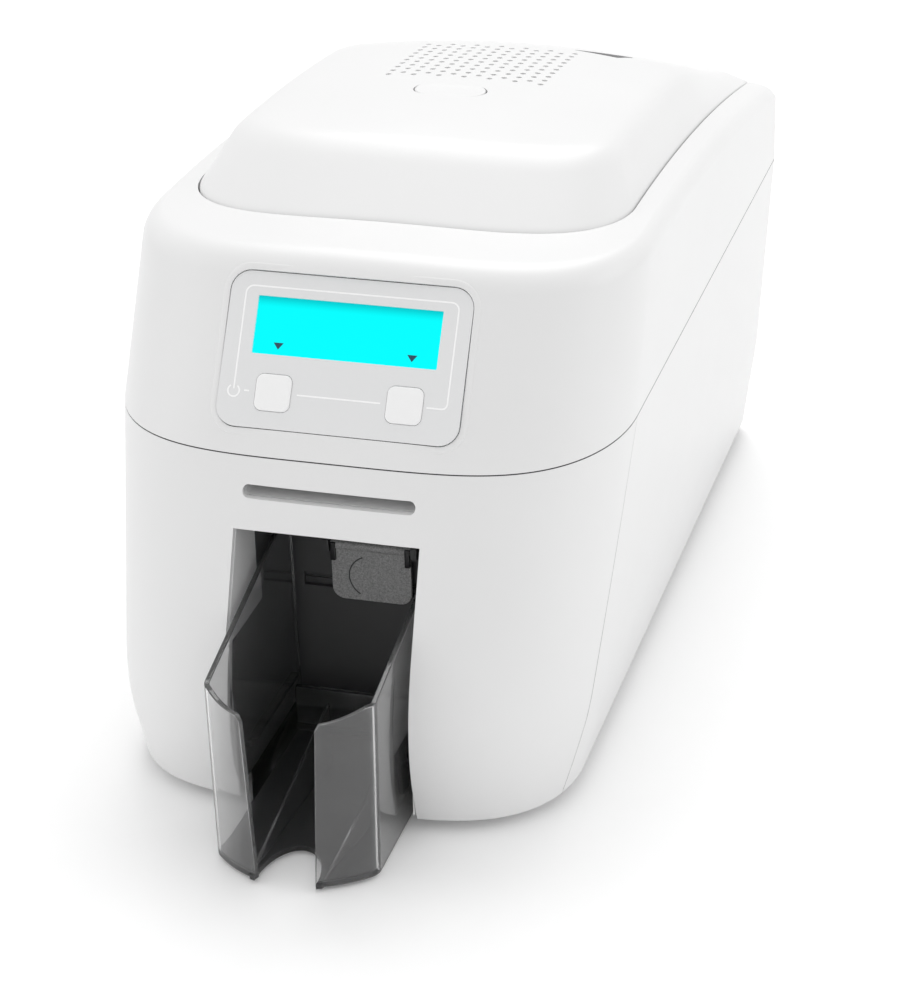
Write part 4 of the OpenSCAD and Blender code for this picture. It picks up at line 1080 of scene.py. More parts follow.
@dataclass
class FrontFascia:
    """The front cover with the hand-feed slot and the hopper opening."""

    form: CaseForm
    slot_length: float = 68.6
    slot_height: float = 5.0
    path_z: float = 129.4
    channel_back: float = -136.0
    channel_length: float = 12.4
    channel_wall: float = 1.6
    channel_round: float = 4.0
    centre: int = 40
    wing: int = 30
    return_z: float = 74.0
    right_return_z: float = 34.0
    return_back: float = -134.0
    edge_back: float = -173.0
    edge_foot: float = 8.2
    belly: float = 45.0
    strips: tuple[tuple[float, float], ...] = ((60.5, 64.8), (65.2, 69.5))
    strip_half: float = 31.0
    strip_front: float = -95.9
    strip_back: float = -95.2

    def slot_form(self, y: float, depth: float) -> bmesh.types.BMesh:
        """Makes the solid form of the hand-feed slot, which cuts it out of other pieces.

        Args:
            y: Where it starts.
            depth: How far it reaches forwards.

        Returns:
            The form.
        """
        tool = bmesh.new()
        slab(tool, rounded(self.slot_length, self.slot_height, self.slot_height / 2 - 0.01), depth,
             moved(0, y, self.path_z, FACING))
        return tool

    def shell(self) -> bmesh.types.BMesh:
        """Lays the front between its seams, opens the bay and cuts the slot."""
        form = self.form
        columns = self.centre + 2 * self.wing
        left, right = self.wing / columns, 1 - self.wing / columns
        rows, low_rows, bay_rows = 56, 16, 30
        belly = form.tuck_z(0.0, form.belly_front)
        levels = [(low_rows, belly), (low_rows + bay_rows, form.bay_top), (rows, form.seam)]

        def place(u: float, v: float) -> Vector:
            """Gives a point of the outside."""
            level = v * rows
            t = level / low_rows
            if level > low_rows:
                t = 1.0 + (steps(levels, level) - belly) / (form.seam - belly)
            edge, bay = form.seam_q(t), form.bay_q(t)
            q = steps([(0.0, edge), (left, bay), (right, 1 - bay), (1.0, 1 - edge)], u)
            return form.side(q, t)

        bm = surface(columns, rows, place)
        inside = [f for f in bm.faces if abs(f.calc_center_median().x) < form.bay_half - 0.05
                  and f.calc_center_median().z < form.bay_top]
        bmesh.ops.delete(bm, geom=inside, context="FACES")
        face_out(bm, point(0, 0, 70))
        return cut(walled(bm, form.wall), self.slot_form(-130.0, 60.0))

    def floors(self) -> bmesh.types.BMesh:
        """Makes the two floor pieces beside the bay."""
        form = self.form
        bm = bmesh.new()
        edge, bay = form.seam_q(0.0), form.bay_q(0.0)
        for sign in (-1, 1):
            spots = [form.side(edge + (bay - edge) * i / 24, 0.0) for i in range(25)]
            outline = [(sign * spot.x * form.floor_share, spot.y + 1.0) for spot in spots]
            outline += [(sign * form.bay_half, form.split_y(form.base))]
            slab(bm, outline, form.wall, moved(0, 0, form.base))
        return bm

    def channel(self) -> bmesh.types.BMesh:
        """Makes the guide channel behind the hand-feed slot."""
        bm = bmesh.new()
        outline = rounded(self.slot_length + 2 * self.channel_wall, self.slot_height + 2 * self.channel_wall,
                          self.channel_round)
        slab(bm, outline, self.channel_length, moved(0, self.channel_back, self.path_z, FACING))
        return cut(bm, self.slot_form(self.channel_back + 4.0, 20.0))

    def returns(self, upper: bool) -> bmesh.types.BMesh:
        """Makes the pale walls on both sides inside the bay, which end lower on the right.

        Args:
            upper: Whether these are the deep walls above, or else the short ones below them.

        Returns:
            Both walls.
        """
        form = self.form
        back = self.return_back if upper else self.edge_back
        bm = bmesh.new()
        for sign, split in ((-1, self.return_z), (1, self.right_return_z)):
            low, high = (split, form.bay_top - 0.2) if upper else (self.edge_foot, split - 0.1)

            def place(u: float, v: float) -> Vector:
                """Gives a point of one side wall's face."""
                z = low + (high - low) * u
                t = 1.0 + (z - self.belly) / (form.seam - self.belly) if z > self.belly else z / self.belly
                front = form.side(form.bay_q(t), t).y + form.wall + 0.2
                return point(sign * (form.bay_half - 0.35), front + (back - front) * v, z)

            side = surface(24, 4, place)
            face_out(side, point(sign * 60.0, -150, 60))
            join(bm, walled(side, 0.3))
        return bm

    def build(self) -> None:
        """Publishes the fascia, its channel, the bay's side walls, the exit's dark dust strips, which also
        paint the shade over the card exit, and the floors.
        """
        publish(self.channel(), "slot_channel", Paint.SHELL, "case", "white_shell", bevel=0.3)
        publish(self.returns(True), "bay_returns", Paint.SHELL, "case", "white_shell")
        publish(self.returns(False), "bay_edges", Paint.SHELL, "case", "white_shell")
        # Dark strips across the card exit, which also paint the shade inside it.
        strips = bmesh.new()
        for low, high in self.strips:
            block(strips, (-self.strip_half, self.strip_front, low), (self.strip_half, self.strip_back, high),
                  0.1)
        publish(strips, "exit_dust_and_shade_strips", Paint.LINER, "case", "liner_grey")
        publish(self.shell(), "front_fascia_shell", Paint.SHELL, "case", "white_shell", ["front_fascia"],
                bevel=self.form.seam_bevel)
        publish(self.floors(), "front_fascia_floor", Paint.SHELL, "case", "white_shell", bevel=0.2)


@dataclass
class SeamShadeStrips:
    """The dark strips in the seams between the covers, which paint the shade deep in the gaps."""

    form: CaseForm
    case: LowerCase
    start: float = 0.06
    end: float = 2.2
    foot: float = 0.02
    head: float = 0.53
    front: float = 0.9
    rear: float = 0.1

    def under_cover(self) -> bmesh.types.BMesh:
        """Makes the dark strip of painted shade that runs round the case under the upper cover."""
        form = self.form
        section = ((self.start, self.foot), (self.end, self.foot), (self.end, self.head),
                   (self.start, self.head))

        def place(u: float, v: float) -> Vector:
            """Gives a point of the strip's skin."""
            depth, lift = section[round(v * 4) % 4]
            ring = Ring(form.width - 2 * depth, form.seam_ring.crease, form.seam_ring.front + depth,
                        form.back - depth, form.seam_ring.rounding)
            return point(*ring.at(around(u)), form.seam + lift)

        shade_strip = surface(200, 4, place, closed=True)
        bmesh.ops.recalc_face_normals(shade_strip, faces=shade_strip.faces)
        return shade_strip

    def beside_fascia(self, sign: int) -> bmesh.types.BMesh:
        """Makes the upright dark strip of painted shade on one side of the fascia, where -1 is the left side.
        """
        form = self.form
        section = ((self.front, self.start), (self.rear, self.start), (self.rear, self.end),
                   (self.front, self.end))

        def place(u: float, v: float) -> Vector:
            """Gives a point of the strip's skin."""
            share, depth = section[round(v * 4) % 4]
            t = 0.03 + 1.94 * u
            spot = form.side(form.seam_q(t) - self.case.gap_q * share, t)
            return point(sign * (spot.x - depth), spot.y + depth * 0.3, spot.z)

        shade_strip = surface(60, 4, place, closed=True)
        bmesh.ops.holes_fill(shade_strip, edges=[e for e in shade_strip.edges if e.is_boundary], sides=0)
        bmesh.ops.recalc_face_normals(shade_strip, faces=shade_strip.faces)
        return shade_strip

    def build(self) -> None:
        """Publishes all three strips of painted shade."""
        shade_strips = self.under_cover()
        for sign in (-1, 1):
            join(shade_strips, self.beside_fascia(sign))
        # Black strips that paint the shade deep in the seams.
        publish(shade_strips, "seam_shade_strips", Paint.BLACK, "case", "liner_grey")


@dataclass
class PanelPlace:
    """Where the display panel sits on the sloping front, in mm and degrees."""

    width: float = 96.0
    height: float = 60.0
    radius: float = 8.0
    tilt: float = 32.0
    middle_y: float = -125.78
    middle_z: float = 177.5
    sink: float = 1.0

    def outline(self, away: float = 0.0, corner: int = 8) -> list[tuple[float, float]]:
        """Gives the panel's outline, grown by a distance, with a number of steps in each corner."""
        return rounded(self.width + 2 * away, self.height + 2 * away, self.radius + away, steps=corner)

    def matrix(self, depth: float = 0.0) -> Matrix:
        """Gives the place of the panel's plane, with X across, Y up the slope and Z out of it.

        Args:
            depth: How far out of the front surface the plane lies.

        Returns:
            The placing matrix.
        """
        return (moved(0, self.middle_y, self.middle_z)
                @ Matrix.Rotation(math.radians(90 - self.tilt), 4, "X") @ moved(0, 0, depth))


@dataclass
class UpperCover:
    """The cover above the seam, with the panel's recess and the lid's opening."""

    form: CaseForm
    panel: PanelPlace
    rim: float = 6.0
    bracket_xs: tuple[float, float] = (67.5, -72.0)
    bracket_width: float = 4.5
    bracket: tuple[tuple[float, float], ...] = ((206, 160), (200.8, 166), (208.2, 173.4), (210, 176),
                                                (206.5, 177), (197, 167), (197, 152))
    knuckle: float = 3.6

    def shell(self) -> bmesh.types.BMesh:
        """Lays the cover from the seam over its rounded top edge to the rim, and cuts its openings."""
        form = self.form
        inset = Ring(form.width - 2 * form.bevel, form.top_crease, form.top_front + 1.3 * form.bevel,
                     form.back - form.bevel, form.back_round)
        opening = Ring(form.lid_width + 2 * form.lid_gap, form.lid_crease, form.lid_front - form.lid_gap,
                       form.back - 14.0, form.lid_round)

        def place(u: float, v: float) -> Vector:
            """Gives a point of the outside."""
            q = around(u)
            x0, y0 = form.seam_ring.at(q)
            x1, y1 = form.top_ring.at(q)
            x2, y2 = inset.at(q)
            x3, y3 = opening.at(q)
            low = point(x0, y0, form.seam + form.seam_gap)
            edge = point(x1, y1, form.edge_z(x1, y1))
            lip = point(x2, y2, form.shoulder_z(x2, y2))
            rim = point(x3, y3, form.shoulder_z(x3, y3))
            start, end = mixed(low, edge, 0.93), mixed(lip, rim, 0.22)
            if v < 0.5:
                return mixed(low, start, v / 0.5)
            if v < 0.75:
                return cubic(start, edge, lip, end, (v - 0.5) / 0.25)
            if v < 0.9:
                return mixed(end, rim, (v - 0.75) / 0.15)
            return rim + point(0, 0, -self.rim * ((v - 0.9) / 0.1))

        bm = surface(200, 60, place, closed=True)
        face_out(bm, point(0, 30, 150))
        bm = walled(bm, form.wall)
        tool = bmesh.new()
        half = form.lid_width / 2 + form.lid_gap
        block(tool, (-half, 195.0, 168.0), (half, form.back + 3, 215.0))
        slab(tool, self.panel.outline(0.3), 22.0, self.panel.matrix(-16.0))
        return cut(bm, tool)

    def build(self) -> None:
        """Publishes the cover and the brackets that carry the lid's pins."""
        publish(self.shell(), "upper_cover_shell", Paint.SHELL, "case", "white_shell", ["upper_cover"],
                bevel=self.form.seam_bevel)
        back = self.form.back - self.form.wall - 0.1
        bm = bmesh.new()
        for x in self.bracket_xs:
            slab(bm, [(back, 150), (back, 157), *self.bracket], self.bracket_width, moved(x, 0, 0, SIDEWAYS))
            turned(bm, [(0.0, 0.0), (0.0, self.knuckle), (self.bracket_width, self.knuckle),
                        (self.bracket_width, 0.0)], moved(x, *self.form.hinge), 32)
        publish(bm, "cover_hinge_brackets", Paint.SHELL, "case", "white_shell", bevel=0.4)


@dataclass
class DisplayPanel:
    """The panel's bezel, window, keys and printed lines."""

    form: CaseForm
    place: PanelPlace
    thickness: float = 2.4
    lcd_width: float = 73.0
    lcd_height: float = 22.0
    lcd_up: float = 9.6
    lcd_depth: float = 7.4
    lcd_sink: float = 0.5
    key: float = 14.2
    key_x: float = 26.0
    key_down: float = 16.1
    key_round: float = 3.0
    key_tall: float = 5.9
    key_out: float = 0.8
    gap: float = 0.3
    mark_x: float = 26.5
    mark: tuple[tuple[float, float], ...] = ((-2.0, 3.2), (0.0, 0.6), (2.0, 3.2))
    line: float = 0.6
    ink: float = 0.08
    frame_left: float = -41.8
    frame_right: float = 42.5
    frame_top: float = 24.3
    frame_round: float = 3.0
    frame_end_round: float = 2.0
    frame_end: float = 8.6
    between_start: float = 9.5
    dash: tuple[float, float] = (-37.6, -35.6)
    sign: float = 2.3
    lip_start: float = 0.32
    lip_width: float = 2.6
    lip_height: float = 0.3
    lip_sink: float = 1.2

    def bezel(self) -> None:
        """Makes the bezel plate with its window and key holes."""
        bm = bmesh.new()
        slab(bm, self.place.outline(corner=12), self.thickness)
        tool = bmesh.new()
        below = moved(0, 0, -3)
        slab(tool, rounded(self.lcd_width + self.gap, self.lcd_height + self.gap, 0.4, (0, self.lcd_up)), 9.0,
             below)
        for x in (-self.key_x, self.key_x):
            slab(tool, rounded(self.key + self.gap, self.key + self.gap, self.key_round + self.gap / 2,
                               (x, -self.key_down)), 9.0, below)
        bm = cut(bm, tool)
        bmesh.ops.transform(bm, matrix=self.place.matrix(-self.place.sink - self.thickness), verts=bm.verts)
        publish(bm, "panel_bezel", Paint.PANEL, "case", "panel_grey", ["display_bezel"], bevel=0.45,
                segments=3)

    def lip(self) -> None:
        """Makes the soft raised lip of the cover round the panel's recess."""
        form = self.form
        slope = math.radians(self.place.tilt)
        out = point(0.0, -math.cos(slope), math.sin(slope))
        flat = self.place.matrix()
        corner = 14
        count = 4 * (corner + 1)

        def place(u: float, v: float) -> Vector:
            """Gives a point of the lip's skin, which is moved onto the cover's curved front."""
            turn = v * math.tau
            away = self.lip_start + self.lip_width / 2 * (1 - math.cos(turn))
            lift = (self.lip_height if turn < math.pi else self.lip_sink) * math.sin(turn)
            x, up = self.place.outline(away, corner)[round(u * count) % count]
            spot = flat @ point(x, up, 0.0)
            for _ in range(3):
                behind = (form.cover_y(x, spot.z) - spot.y) * -math.cos(slope)
                spot += out * behind
            return spot + out * lift

        bm = surface(count, 16, place, closed=True)
        bmesh.ops.recalc_face_normals(bm, faces=bm.faces)
        publish(bm, "panel_lip", Paint.SHELL, "case", "white_shell")

    def window(self) -> None:
        """Makes the lit window and the two plain marks over the keys."""
        front = -self.place.sink - self.lcd_sink
        bm = bmesh.new()
        slab(bm, rounded(self.lcd_width, self.lcd_height, 0.25, (0, self.lcd_up)), self.lcd_depth,
             self.place.matrix(front - self.lcd_depth))
        publish(bm, "display_window", Paint.LCD, "case", "display_cyan", ["lcd_window"], bevel=0.15)
        marks = bmesh.new()
        for x in (-self.mark_x, self.mark_x):
            slab(marks, [(x + across, up) for across, up in self.mark], 0.06, self.place.matrix(front))
        publish(marks, "display_marks", Paint.INK, "case", "display_cyan")

    def keys(self) -> None:
        """Makes the two cushioned keys."""
        base = self.place.matrix(-self.place.sink + self.key_out - 6.0)
        for x, name in ((-self.key_x, "left_key"), (self.key_x, "right_key")):
            bm = bmesh.new()
            cushion(bm, (self.key, self.key), self.key_round, self.key_tall, 0.7, 0.1,
                    base @ moved(x, -self.key_down, 0))
            publish(bm, f"{name}_cap", Paint.KEY, name, "key_white", [name])

    def lines(self) -> None:
        """Makes the printed frame, the lines beside the keys and the power sign."""
        left, right, top, low = self.frame_left, self.frame_right, self.frame_top, -self.key_down
        big, small = self.frame_round, self.frame_end_round
        corner = circle(range(0, 91, 15))
        frame = [(left, low + 0.3)] + [(left + big - big * c, top - big + big * s) for c, s in corner]
        frame += [(right - big + big * s, top - big + big * c) for c, s in corner]
        frame += [(right - small + small * c, low + small - small * s) for c, s in corner]
        frame.append((self.key_x + self.frame_end, low))
        between = [(-self.key_x + self.between_start, low), (self.key_x - self.between_start, low)]
        dash = [(x, low) for x in self.dash]
        sign = [(left + self.sign * s, low - 0.4 + self.sign * c) for c, s in circle(range(35, 326, 10))]
        bm = bmesh.new()
        for path in (frame, between, dash, sign):
            ribbon(bm, path, self.line, self.ink, self.place.matrix(-self.place.sink))
        publish(bm, "panel_lines", Paint.PRINT, "case", "key_white")

    def build(self) -> None:
        """Publishes the panel's pieces."""
        self.bezel()
        self.lip()
        self.window()
        self.keys()
        self.lines()


@dataclass
class Lid:
    """The hinged lid with its vents, button and accent."""

    form: CaseForm
    back_foot: float = 168.9
    vent_pitch: float = 5.5
    vent_width: float = 2.6
    vent_row_pitch: float = 3.35
    vent_rows: int = 19
    vent_columns: int = 6
    vent_y: float = 48.0
    button_length: float = 30.0
    button_width: float = 14.0
    button_y: float = 27.0
    button_tall: float = 6.0
    button_gap: float = 0.7
    plunger_z: float = 214.3
    accent: tuple[tuple[float, float], ...] = ((30.0, 119.0), (55.0, 124.0), (50.0, 115.0))
    accent_depth: float = 1.2
    screen_low: tuple[float, float] = (-38.0, 43.0)
    screen_size: tuple[float, float] = (76.0, 70.0)
    boss_at: tuple[float, float, float] = (27.0, 16.0, 212.0)
    ear: tuple[float, float] = (5.3, 7.3)
    knuckle_starts: tuple[float, float] = (-67.0, 57.0)
    knuckle_width: float = 10.0

    def shell(self) -> bmesh.types.BMesh:
        """Lays the lid from its rim over the crest to the middle of its top, and cuts its openings."""
        form = self.form
        rim = Ring(form.lid_width, form.lid_crease, form.lid_front, form.back - form.lid_short,
                   form.lid_round)
        crest = Ring(form.crest_width, form.crest_crease, form.crest_front, form.crest_back, form.back_round)
        flat = Ring(form.crest_width - 2 * form.crest_round, form.crest_crease,
                    form.crest_front + form.crest_round, form.crest_back - form.crest_round, form.back_round)

        def place(u: float, v: float) -> Vector:
            """Gives a point of the outside: skirt, flank, rounded crest, then the top to its spine."""
            q = around(u)
            xr, yr = rim.at(q)
            xc, yc = crest.at(q)
            xf, yf = flat.at(q)
            foot = point(xr, yr, form.shoulder_z(xr, yr) - 5.0)
            if 1.97 < q < 3.03:
                foot.z = min(foot.z, self.back_foot)
            shoulder = point(xr, yr, form.shoulder_z(xr, yr))
            high = point(xc, yc, form.crest_z(xc, yc))
            top = point(xf, yf, form.lid_top_z(xf, yf))
            near, far = mixed(shoulder, high, 0.06), mixed(shoulder, high, 0.72)
            if v < 0.08:
                return mixed(foot, shoulder, v / 0.08 * 0.75)
            if v < 0.16:
                return quadratic(mixed(foot, shoulder, 0.75), shoulder, near, (v - 0.08) / 0.08)
            if v < 0.4:
                return mixed(near, far, (v - 0.16) / 0.24)
            spine = point(0.0, max(crest.front + 62.0, min(crest.back - 50.0, yf)), 0.0)
            inner = mixed(point(xf, yf, 0.0), spine, 0.10)
            inner.z = form.lid_top_z(inner.x, inner.y)
            if v < 0.62:
                return cubic(far, high, top, inner, (v - 0.4) / 0.22)
            spot = mixed(inner, spine, (v - 0.62) / 0.38)
            spot.z = form.lid_top_z(spot.x, spot.y)
            return spot

        bm = surface(200, 70, place, closed=True)
        face_out(bm, point(0, 80, 150))
        bm = walled(bm, form.wall)
        return cut(bm, self.openings())

    def vents(self) -> Iterable[tuple[float, float]]:
        """Gives the vents' places in X and Y, in rows that are shifted by half a pitch."""
        edge = self.vent_columns * self.vent_pitch
        for row in range(self.vent_rows):
            for column in range(-self.vent_columns, self.vent_columns + 1, 2):
                x = (column + row % 2) * self.vent_pitch
                if abs(x) <= edge:
                    yield x, self.vent_y + row * self.vent_row_pitch

    def openings(self) -> bmesh.types.BMesh:
        """Makes the cutter for the vents, the button's hole and the accent's pocket."""
        tool = bmesh.new()
        radius = self.vent_width / 2
        for x, y in self.vents():
            bmesh.ops.create_cone(tool, cap_ends=True, segments=12, radius1=radius, radius2=radius,
                                  depth=30.0, matrix=moved(x, y, 225.0))
        slab(tool, rounded(self.button_length + 2 * self.button_gap, self.button_width + 2 * self.button_gap,
                           self.button_width / 2 + self.button_gap - 0.01, (0, self.button_y)), 40.0,
             moved(0, 0, 205.0))
        middle = sum((Vector(p) for p in self.accent), Vector((0.0, 0.0))) / 3
        join(tool, self.draped([middle + (Vector(p) - middle) * 1.06 for p in self.accent], 10.0))
        return tool

    def draped(self, outline: Sequence[Sequence[float]], height: float) -> bmesh.types.BMesh:
        """Makes a plate that follows the curve of the lid's top, with its underside in the accent's pocket.

        Args:
            outline: Its corners in X and Y.
            height: Its thickness.

        Returns:
            The plate.
        """
        bm = bmesh.new()
        slab(bm, outline, height)
        for x in range(33, 52, 3):
            bmesh.ops.bisect_plane(bm, geom=bm.verts[:] + bm.edges[:] + bm.faces[:], plane_co=(x, 0, 0),
                                   plane_no=(1, 0, 0))
        for vert in bm.verts:
            vert.co.z += self.form.lid_top_z(vert.co.x, vert.co.y) - self.accent_depth
        return bm

    def button(self) -> bmesh.types.BMesh:
        """Makes the oval release button with its slightly hollow top and its plunger."""
        top = self.form.lid_top_z(0, self.button_y)
        reach = top - self.button_tall + 0.8 - self.plunger_z
        bm = bmesh.new()
        cushion(bm, (self.button_length, self.button_width), self.button_width / 2 - 0.01, self.button_tall,
                0.5, -0.35, moved(0, self.button_y, top - self.button_tall))
        turned(bm, [(0.0, 0.0), (0.0, 2.0), (reach, 2.0), (reach, 0.0)],
               moved(0, self.button_y - 1, self.plunger_z, UPRIGHT), 24)
        return bm

    def screen(self) -> bmesh.types.BMesh:
        """Makes the pale dust screen that shows through the vents."""
        form = self.form

        def place(u: float, v: float) -> Vector:
            """Gives a point of the screen, close under the lid's wall."""
            x, y = (low + size * way for low, size, way in zip(self.screen_low, self.screen_size, (u, v)))
            return point(x, y, form.lid_top_z(x, y) - form.wall - 0.15)

        bm = surface(20, 20, place)
        face_out(bm, point(0, 80, 100))
        return walled(bm, 0.5)

    def carriers(self) -> bmesh.types.BMesh:
        """Makes the bosses for the latch, the ears of its pin and the hinge's knuckles under the lid."""
        form = self.form
        bm = bmesh.new()
        boss_x, boss_y, boss_z = self.boss_at
        tall = form.lid_top_z(boss_x, boss_y) - 1.3 - boss_z
        arm = [(205.2, 178.2), (208.8, 181.2), (209, form.lid_top_z(65, 209) - 4.0)]
        arm += [(y, form.lid_top_z(65, y) - 1.25) for y in (198, 194)]
        for sign, start in zip((-1, 1), self.knuckle_starts):
            turned(bm, [(0.0, 0.0), (0.0, 6.0), (tall, 6.0), (tall, 0.0)],
                   moved(sign * boss_x, boss_y, boss_z, UPRIGHT), 32)
            low, high = sorted(sign * x for x in self.ear)
            block(bm, (low, 7.0, 202.0), (high, 17.0, form.lid_top_z(0, 12) - 1.3), 0.3)
            width = self.knuckle_width
            turned(bm, [(0.0, 2.05), (0.0, 5.5), (width, 5.5), (width, 2.05), (0.0, 2.05)],
                   moved(start, *form.hinge), 36)
            slab(bm, arm, width, moved(start, 0, 0, SIDEWAYS))
        return bm

    def build(self) -> None:
        """Publishes the lid and what is on it."""
        publish(self.shell(), "lid_shell", Paint.LID, "lid", "white_shell", ["lid"], bevel=0.3)
        publish(self.button(), "release_button_cap", Paint.LID, "release_button", "key_white",
                ["lid_release_button"])
        publish(self.draped(self.accent, self.accent_depth + 0.05), "accent_inlay", Paint.ACCENT, "lid",
                "accent_grey", ["corner_accent"], bevel=0.15)
        publish(self.screen(), "vent_screen", Paint.SCREEN, "lid", "white_shell")
        publish(self.carriers(), "lid_carriers", Paint.LID, "lid", "white_shell", bevel=0.2)


@dataclass
class Hopper:
    """The smoke-clear tray that slides under the bay."""

    width: float = 68.0
    wall: float = 2.1
    bottom: float = 1.6
    front: float = -205.6
    length: float = 100.3
    bow: float = 17.4
    gap: float = 30.0
    notch_depth: float = 24.0
    kerb: float = 17.0
    front_top: float = 76.0
    back_top: float = 100.6
    slope: float = 100.3
    draft: float = 1.4
    lip_draft: float = 1.8
    corner: float = 2.4
    kerb_start: float = -170.0
    plate_top: float = 24.0
    rib_start: float = -217.0
    rib_end: float = -136.0
    rib_top: float = 31.0
    rib_width: float = 1.4
    ribs_at: tuple[tuple[float, float], ...] = ((-14.6, 0.06), (13.4, 0.13))
    rail_start: float = -158.0
    rail: tuple[float, float] = (32.6, 36.2)

    @property
    def back(self) -> float:
        """Y of the tray's back."""
        return self.front + self.length

    @property
    def inner(self) -> float:
        """X at which the walls' round front corners end."""
        return self.width / 2 - self.corner

    @property
    def floor_z(self) -> float:
        """Height of the floor's top."""
        return self.bottom + self.wall

    def bow_y(self, x: float) -> float:
        """Gives Y of the bowed front at x."""
        radius = ((self.width / 2) ** 2 + self.bow ** 2) / (2 * self.bow)
        return self.front - self.bow + radius - math.sqrt(radius ** 2 - x ** 2)

    def path(self) -> list[Vector]:
        """Gives the right wall's plan from its back to the finger gap, with a round front corner."""
        half = self.width / 2
        ahead = [point(half, self.back - (self.back - self.front - self.corner) * i / 16) for i in range(17)]
        corner, end = point(half, self.front - 0.8), point(self.inner, self.bow_y(self.inner))
        bend = [quadratic(ahead[-1], corner, end, i / 8) for i in range(1, 9)]
        ways = (self.inner - (self.inner - self.gap / 2) * i / 10 for i in range(1, 11))
        return ahead + bend + [point(x, self.bow_y(x)) for x in ways]

    def top(self, spot: Vector) -> float:
        """Gives the height of the wall's top edge over a point of its plan."""
        if spot.x < self.inner:
            t = (self.inner - spot.x) / (self.inner - self.gap / 2)
            return self.front_top - 3.4 * (1 - (1 - t) ** 1.8) - 3.0 * max(0.0, (t - 0.88) / 0.12) ** 3
        t = min(1.0, max(0.0, (spot.y - self.front) / self.slope))
        return self.front_top + (self.back_top - self.front_top) * t

    def walls(self) -> bmesh.types.BMesh:
        """Lays both side walls with their front lips."""
        path = self.path()
        count = len(path) - 1
        both = bmesh.new()
        for sign in (-1, 1):
            def place(u: float, v: float) -> Vector:
                """Gives a point of one wall's outside, which leans in towards its foot."""
                spot = path[round(u * count)]
                z = self.bottom + (self.top(spot) - self.bottom) * v
                lean = self.draft * (1 - (z - self.bottom) / (self.back_top - self.bottom))
                inward = max(0.0, (self.inner - spot.x) / (self.inner - self.gap / 2)) * self.lip_draft
                x = spot.x - (lean if spot.x > self.inner else lean + inward * (1 - v))
                return point(sign * x, spot.y, z)

            bm = surface(count, 12, place)
            bmesh.ops.recalc_face_normals(bm, faces=bm.faces)
            if sum(f.normal.x * sign * f.calc_area() for f in bm.faces) < 0:
                bmesh.ops.reverse_faces(bm, faces=bm.faces)
            join(both, walled(bm, self.wall))
        return both

    def inside(self) -> bmesh.types.BMesh:
        """Makes the floor with its finger notch, the low plate at its back and the kerbs at its sides."""
        half = self.width / 2 - self.draft - self.wall - 0.05
        notch = self.gap / 2 - 1 - self.lip_draft
        stops = [(0.0, -half), (0.2, -notch - 0.3), (0.22, -notch), (0.78, notch), (0.8, notch + 0.3),
                 (1.0, half)]

        def place(u: float, v: float) -> Vector:
            """Gives a point of the floor's top, from its front edge to its back."""
            x = steps(stops, u)
            front = self.bow_y(x) + self.wall + 0.1
            if abs(x) > self.inner - 1:
                front = max(front, self.front + 2.0)
            if abs(x) < self.gap / 2:
                front = self.bow_y(x) + 0.1
            if abs(x) <= notch:
                front = self.bow_y(notch) + self.notch_depth * math.sqrt(max(0.0, 1 - (x / notch) ** 2))
            return point(x, front + (self.back - front) * v, self.floor_z)

        bm = surface(100, 6, place)
        face_out(bm, point(0, -150, -40))
        bm = walled(bm, self.wall)
        base, back = self.floor_z + 0.05, self.back
        block(bm, (-half, back - 10.0, base), (half, back - 7.4, self.plate_top), 0.4)
        for low, high in ((-half, -half + 0.4), (half - 0.4, half)):
            block(bm, (low, self.kerb_start, base), (high, back - 10.1, self.kerb), 0.1)
        return bm

    def ribs(self) -> bmesh.types.BMesh:
        """Makes the two sloping blades that carry the cards and drift to the right towards the back."""
        bm = bmesh.new()
        base = self.floor_z + 0.05
        outline = [(self.rib_start, base), (self.rib_end, base), (self.rib_end, self.rib_top)]
        for x, drift in self.ribs_at:
            for vert in slab(bm, outline, self.rib_width, moved(x, 0, 0, SIDEWAYS)):
                vert.co.x += (vert.co.y - self.rib_start) * drift
        return bm

    def rails(self) -> bmesh.types.BMesh:
        """Makes the rails that slide in the bay's grooves."""
        bm = bmesh.new()
        for sign in (-1, 1):
            low, high = sorted(sign * x for x in self.rail)
            block(bm, (low, self.rail_start, self.plate_top), (high, self.back - 2.0, 26.0), 0.3)
        return bm

    def build(self) -> None:
        """Publishes the tray."""
        publish(self.walls(), "hopper_walls", Paint.SMOKE, "hopper", "smoke_clear", ["card_hopper"],
                bevel=0.5, segments=3)
        # The floor and rails take the darker smoke, which paints the shade under the bay.
        publish(self.inside(), "hopper_floor", Paint.SMOKE_SHADED, "hopper", "smoke_clear", bevel=0.3)
        publish(self.ribs(), "hopper_ribs", Paint.SMOKE_RIB, "hopper", "smoke_clear", bevel=0.3)
        publish(self.rails(), "hopper_rails", Paint.SMOKE_SHADED, "hopper", "smoke_clear")


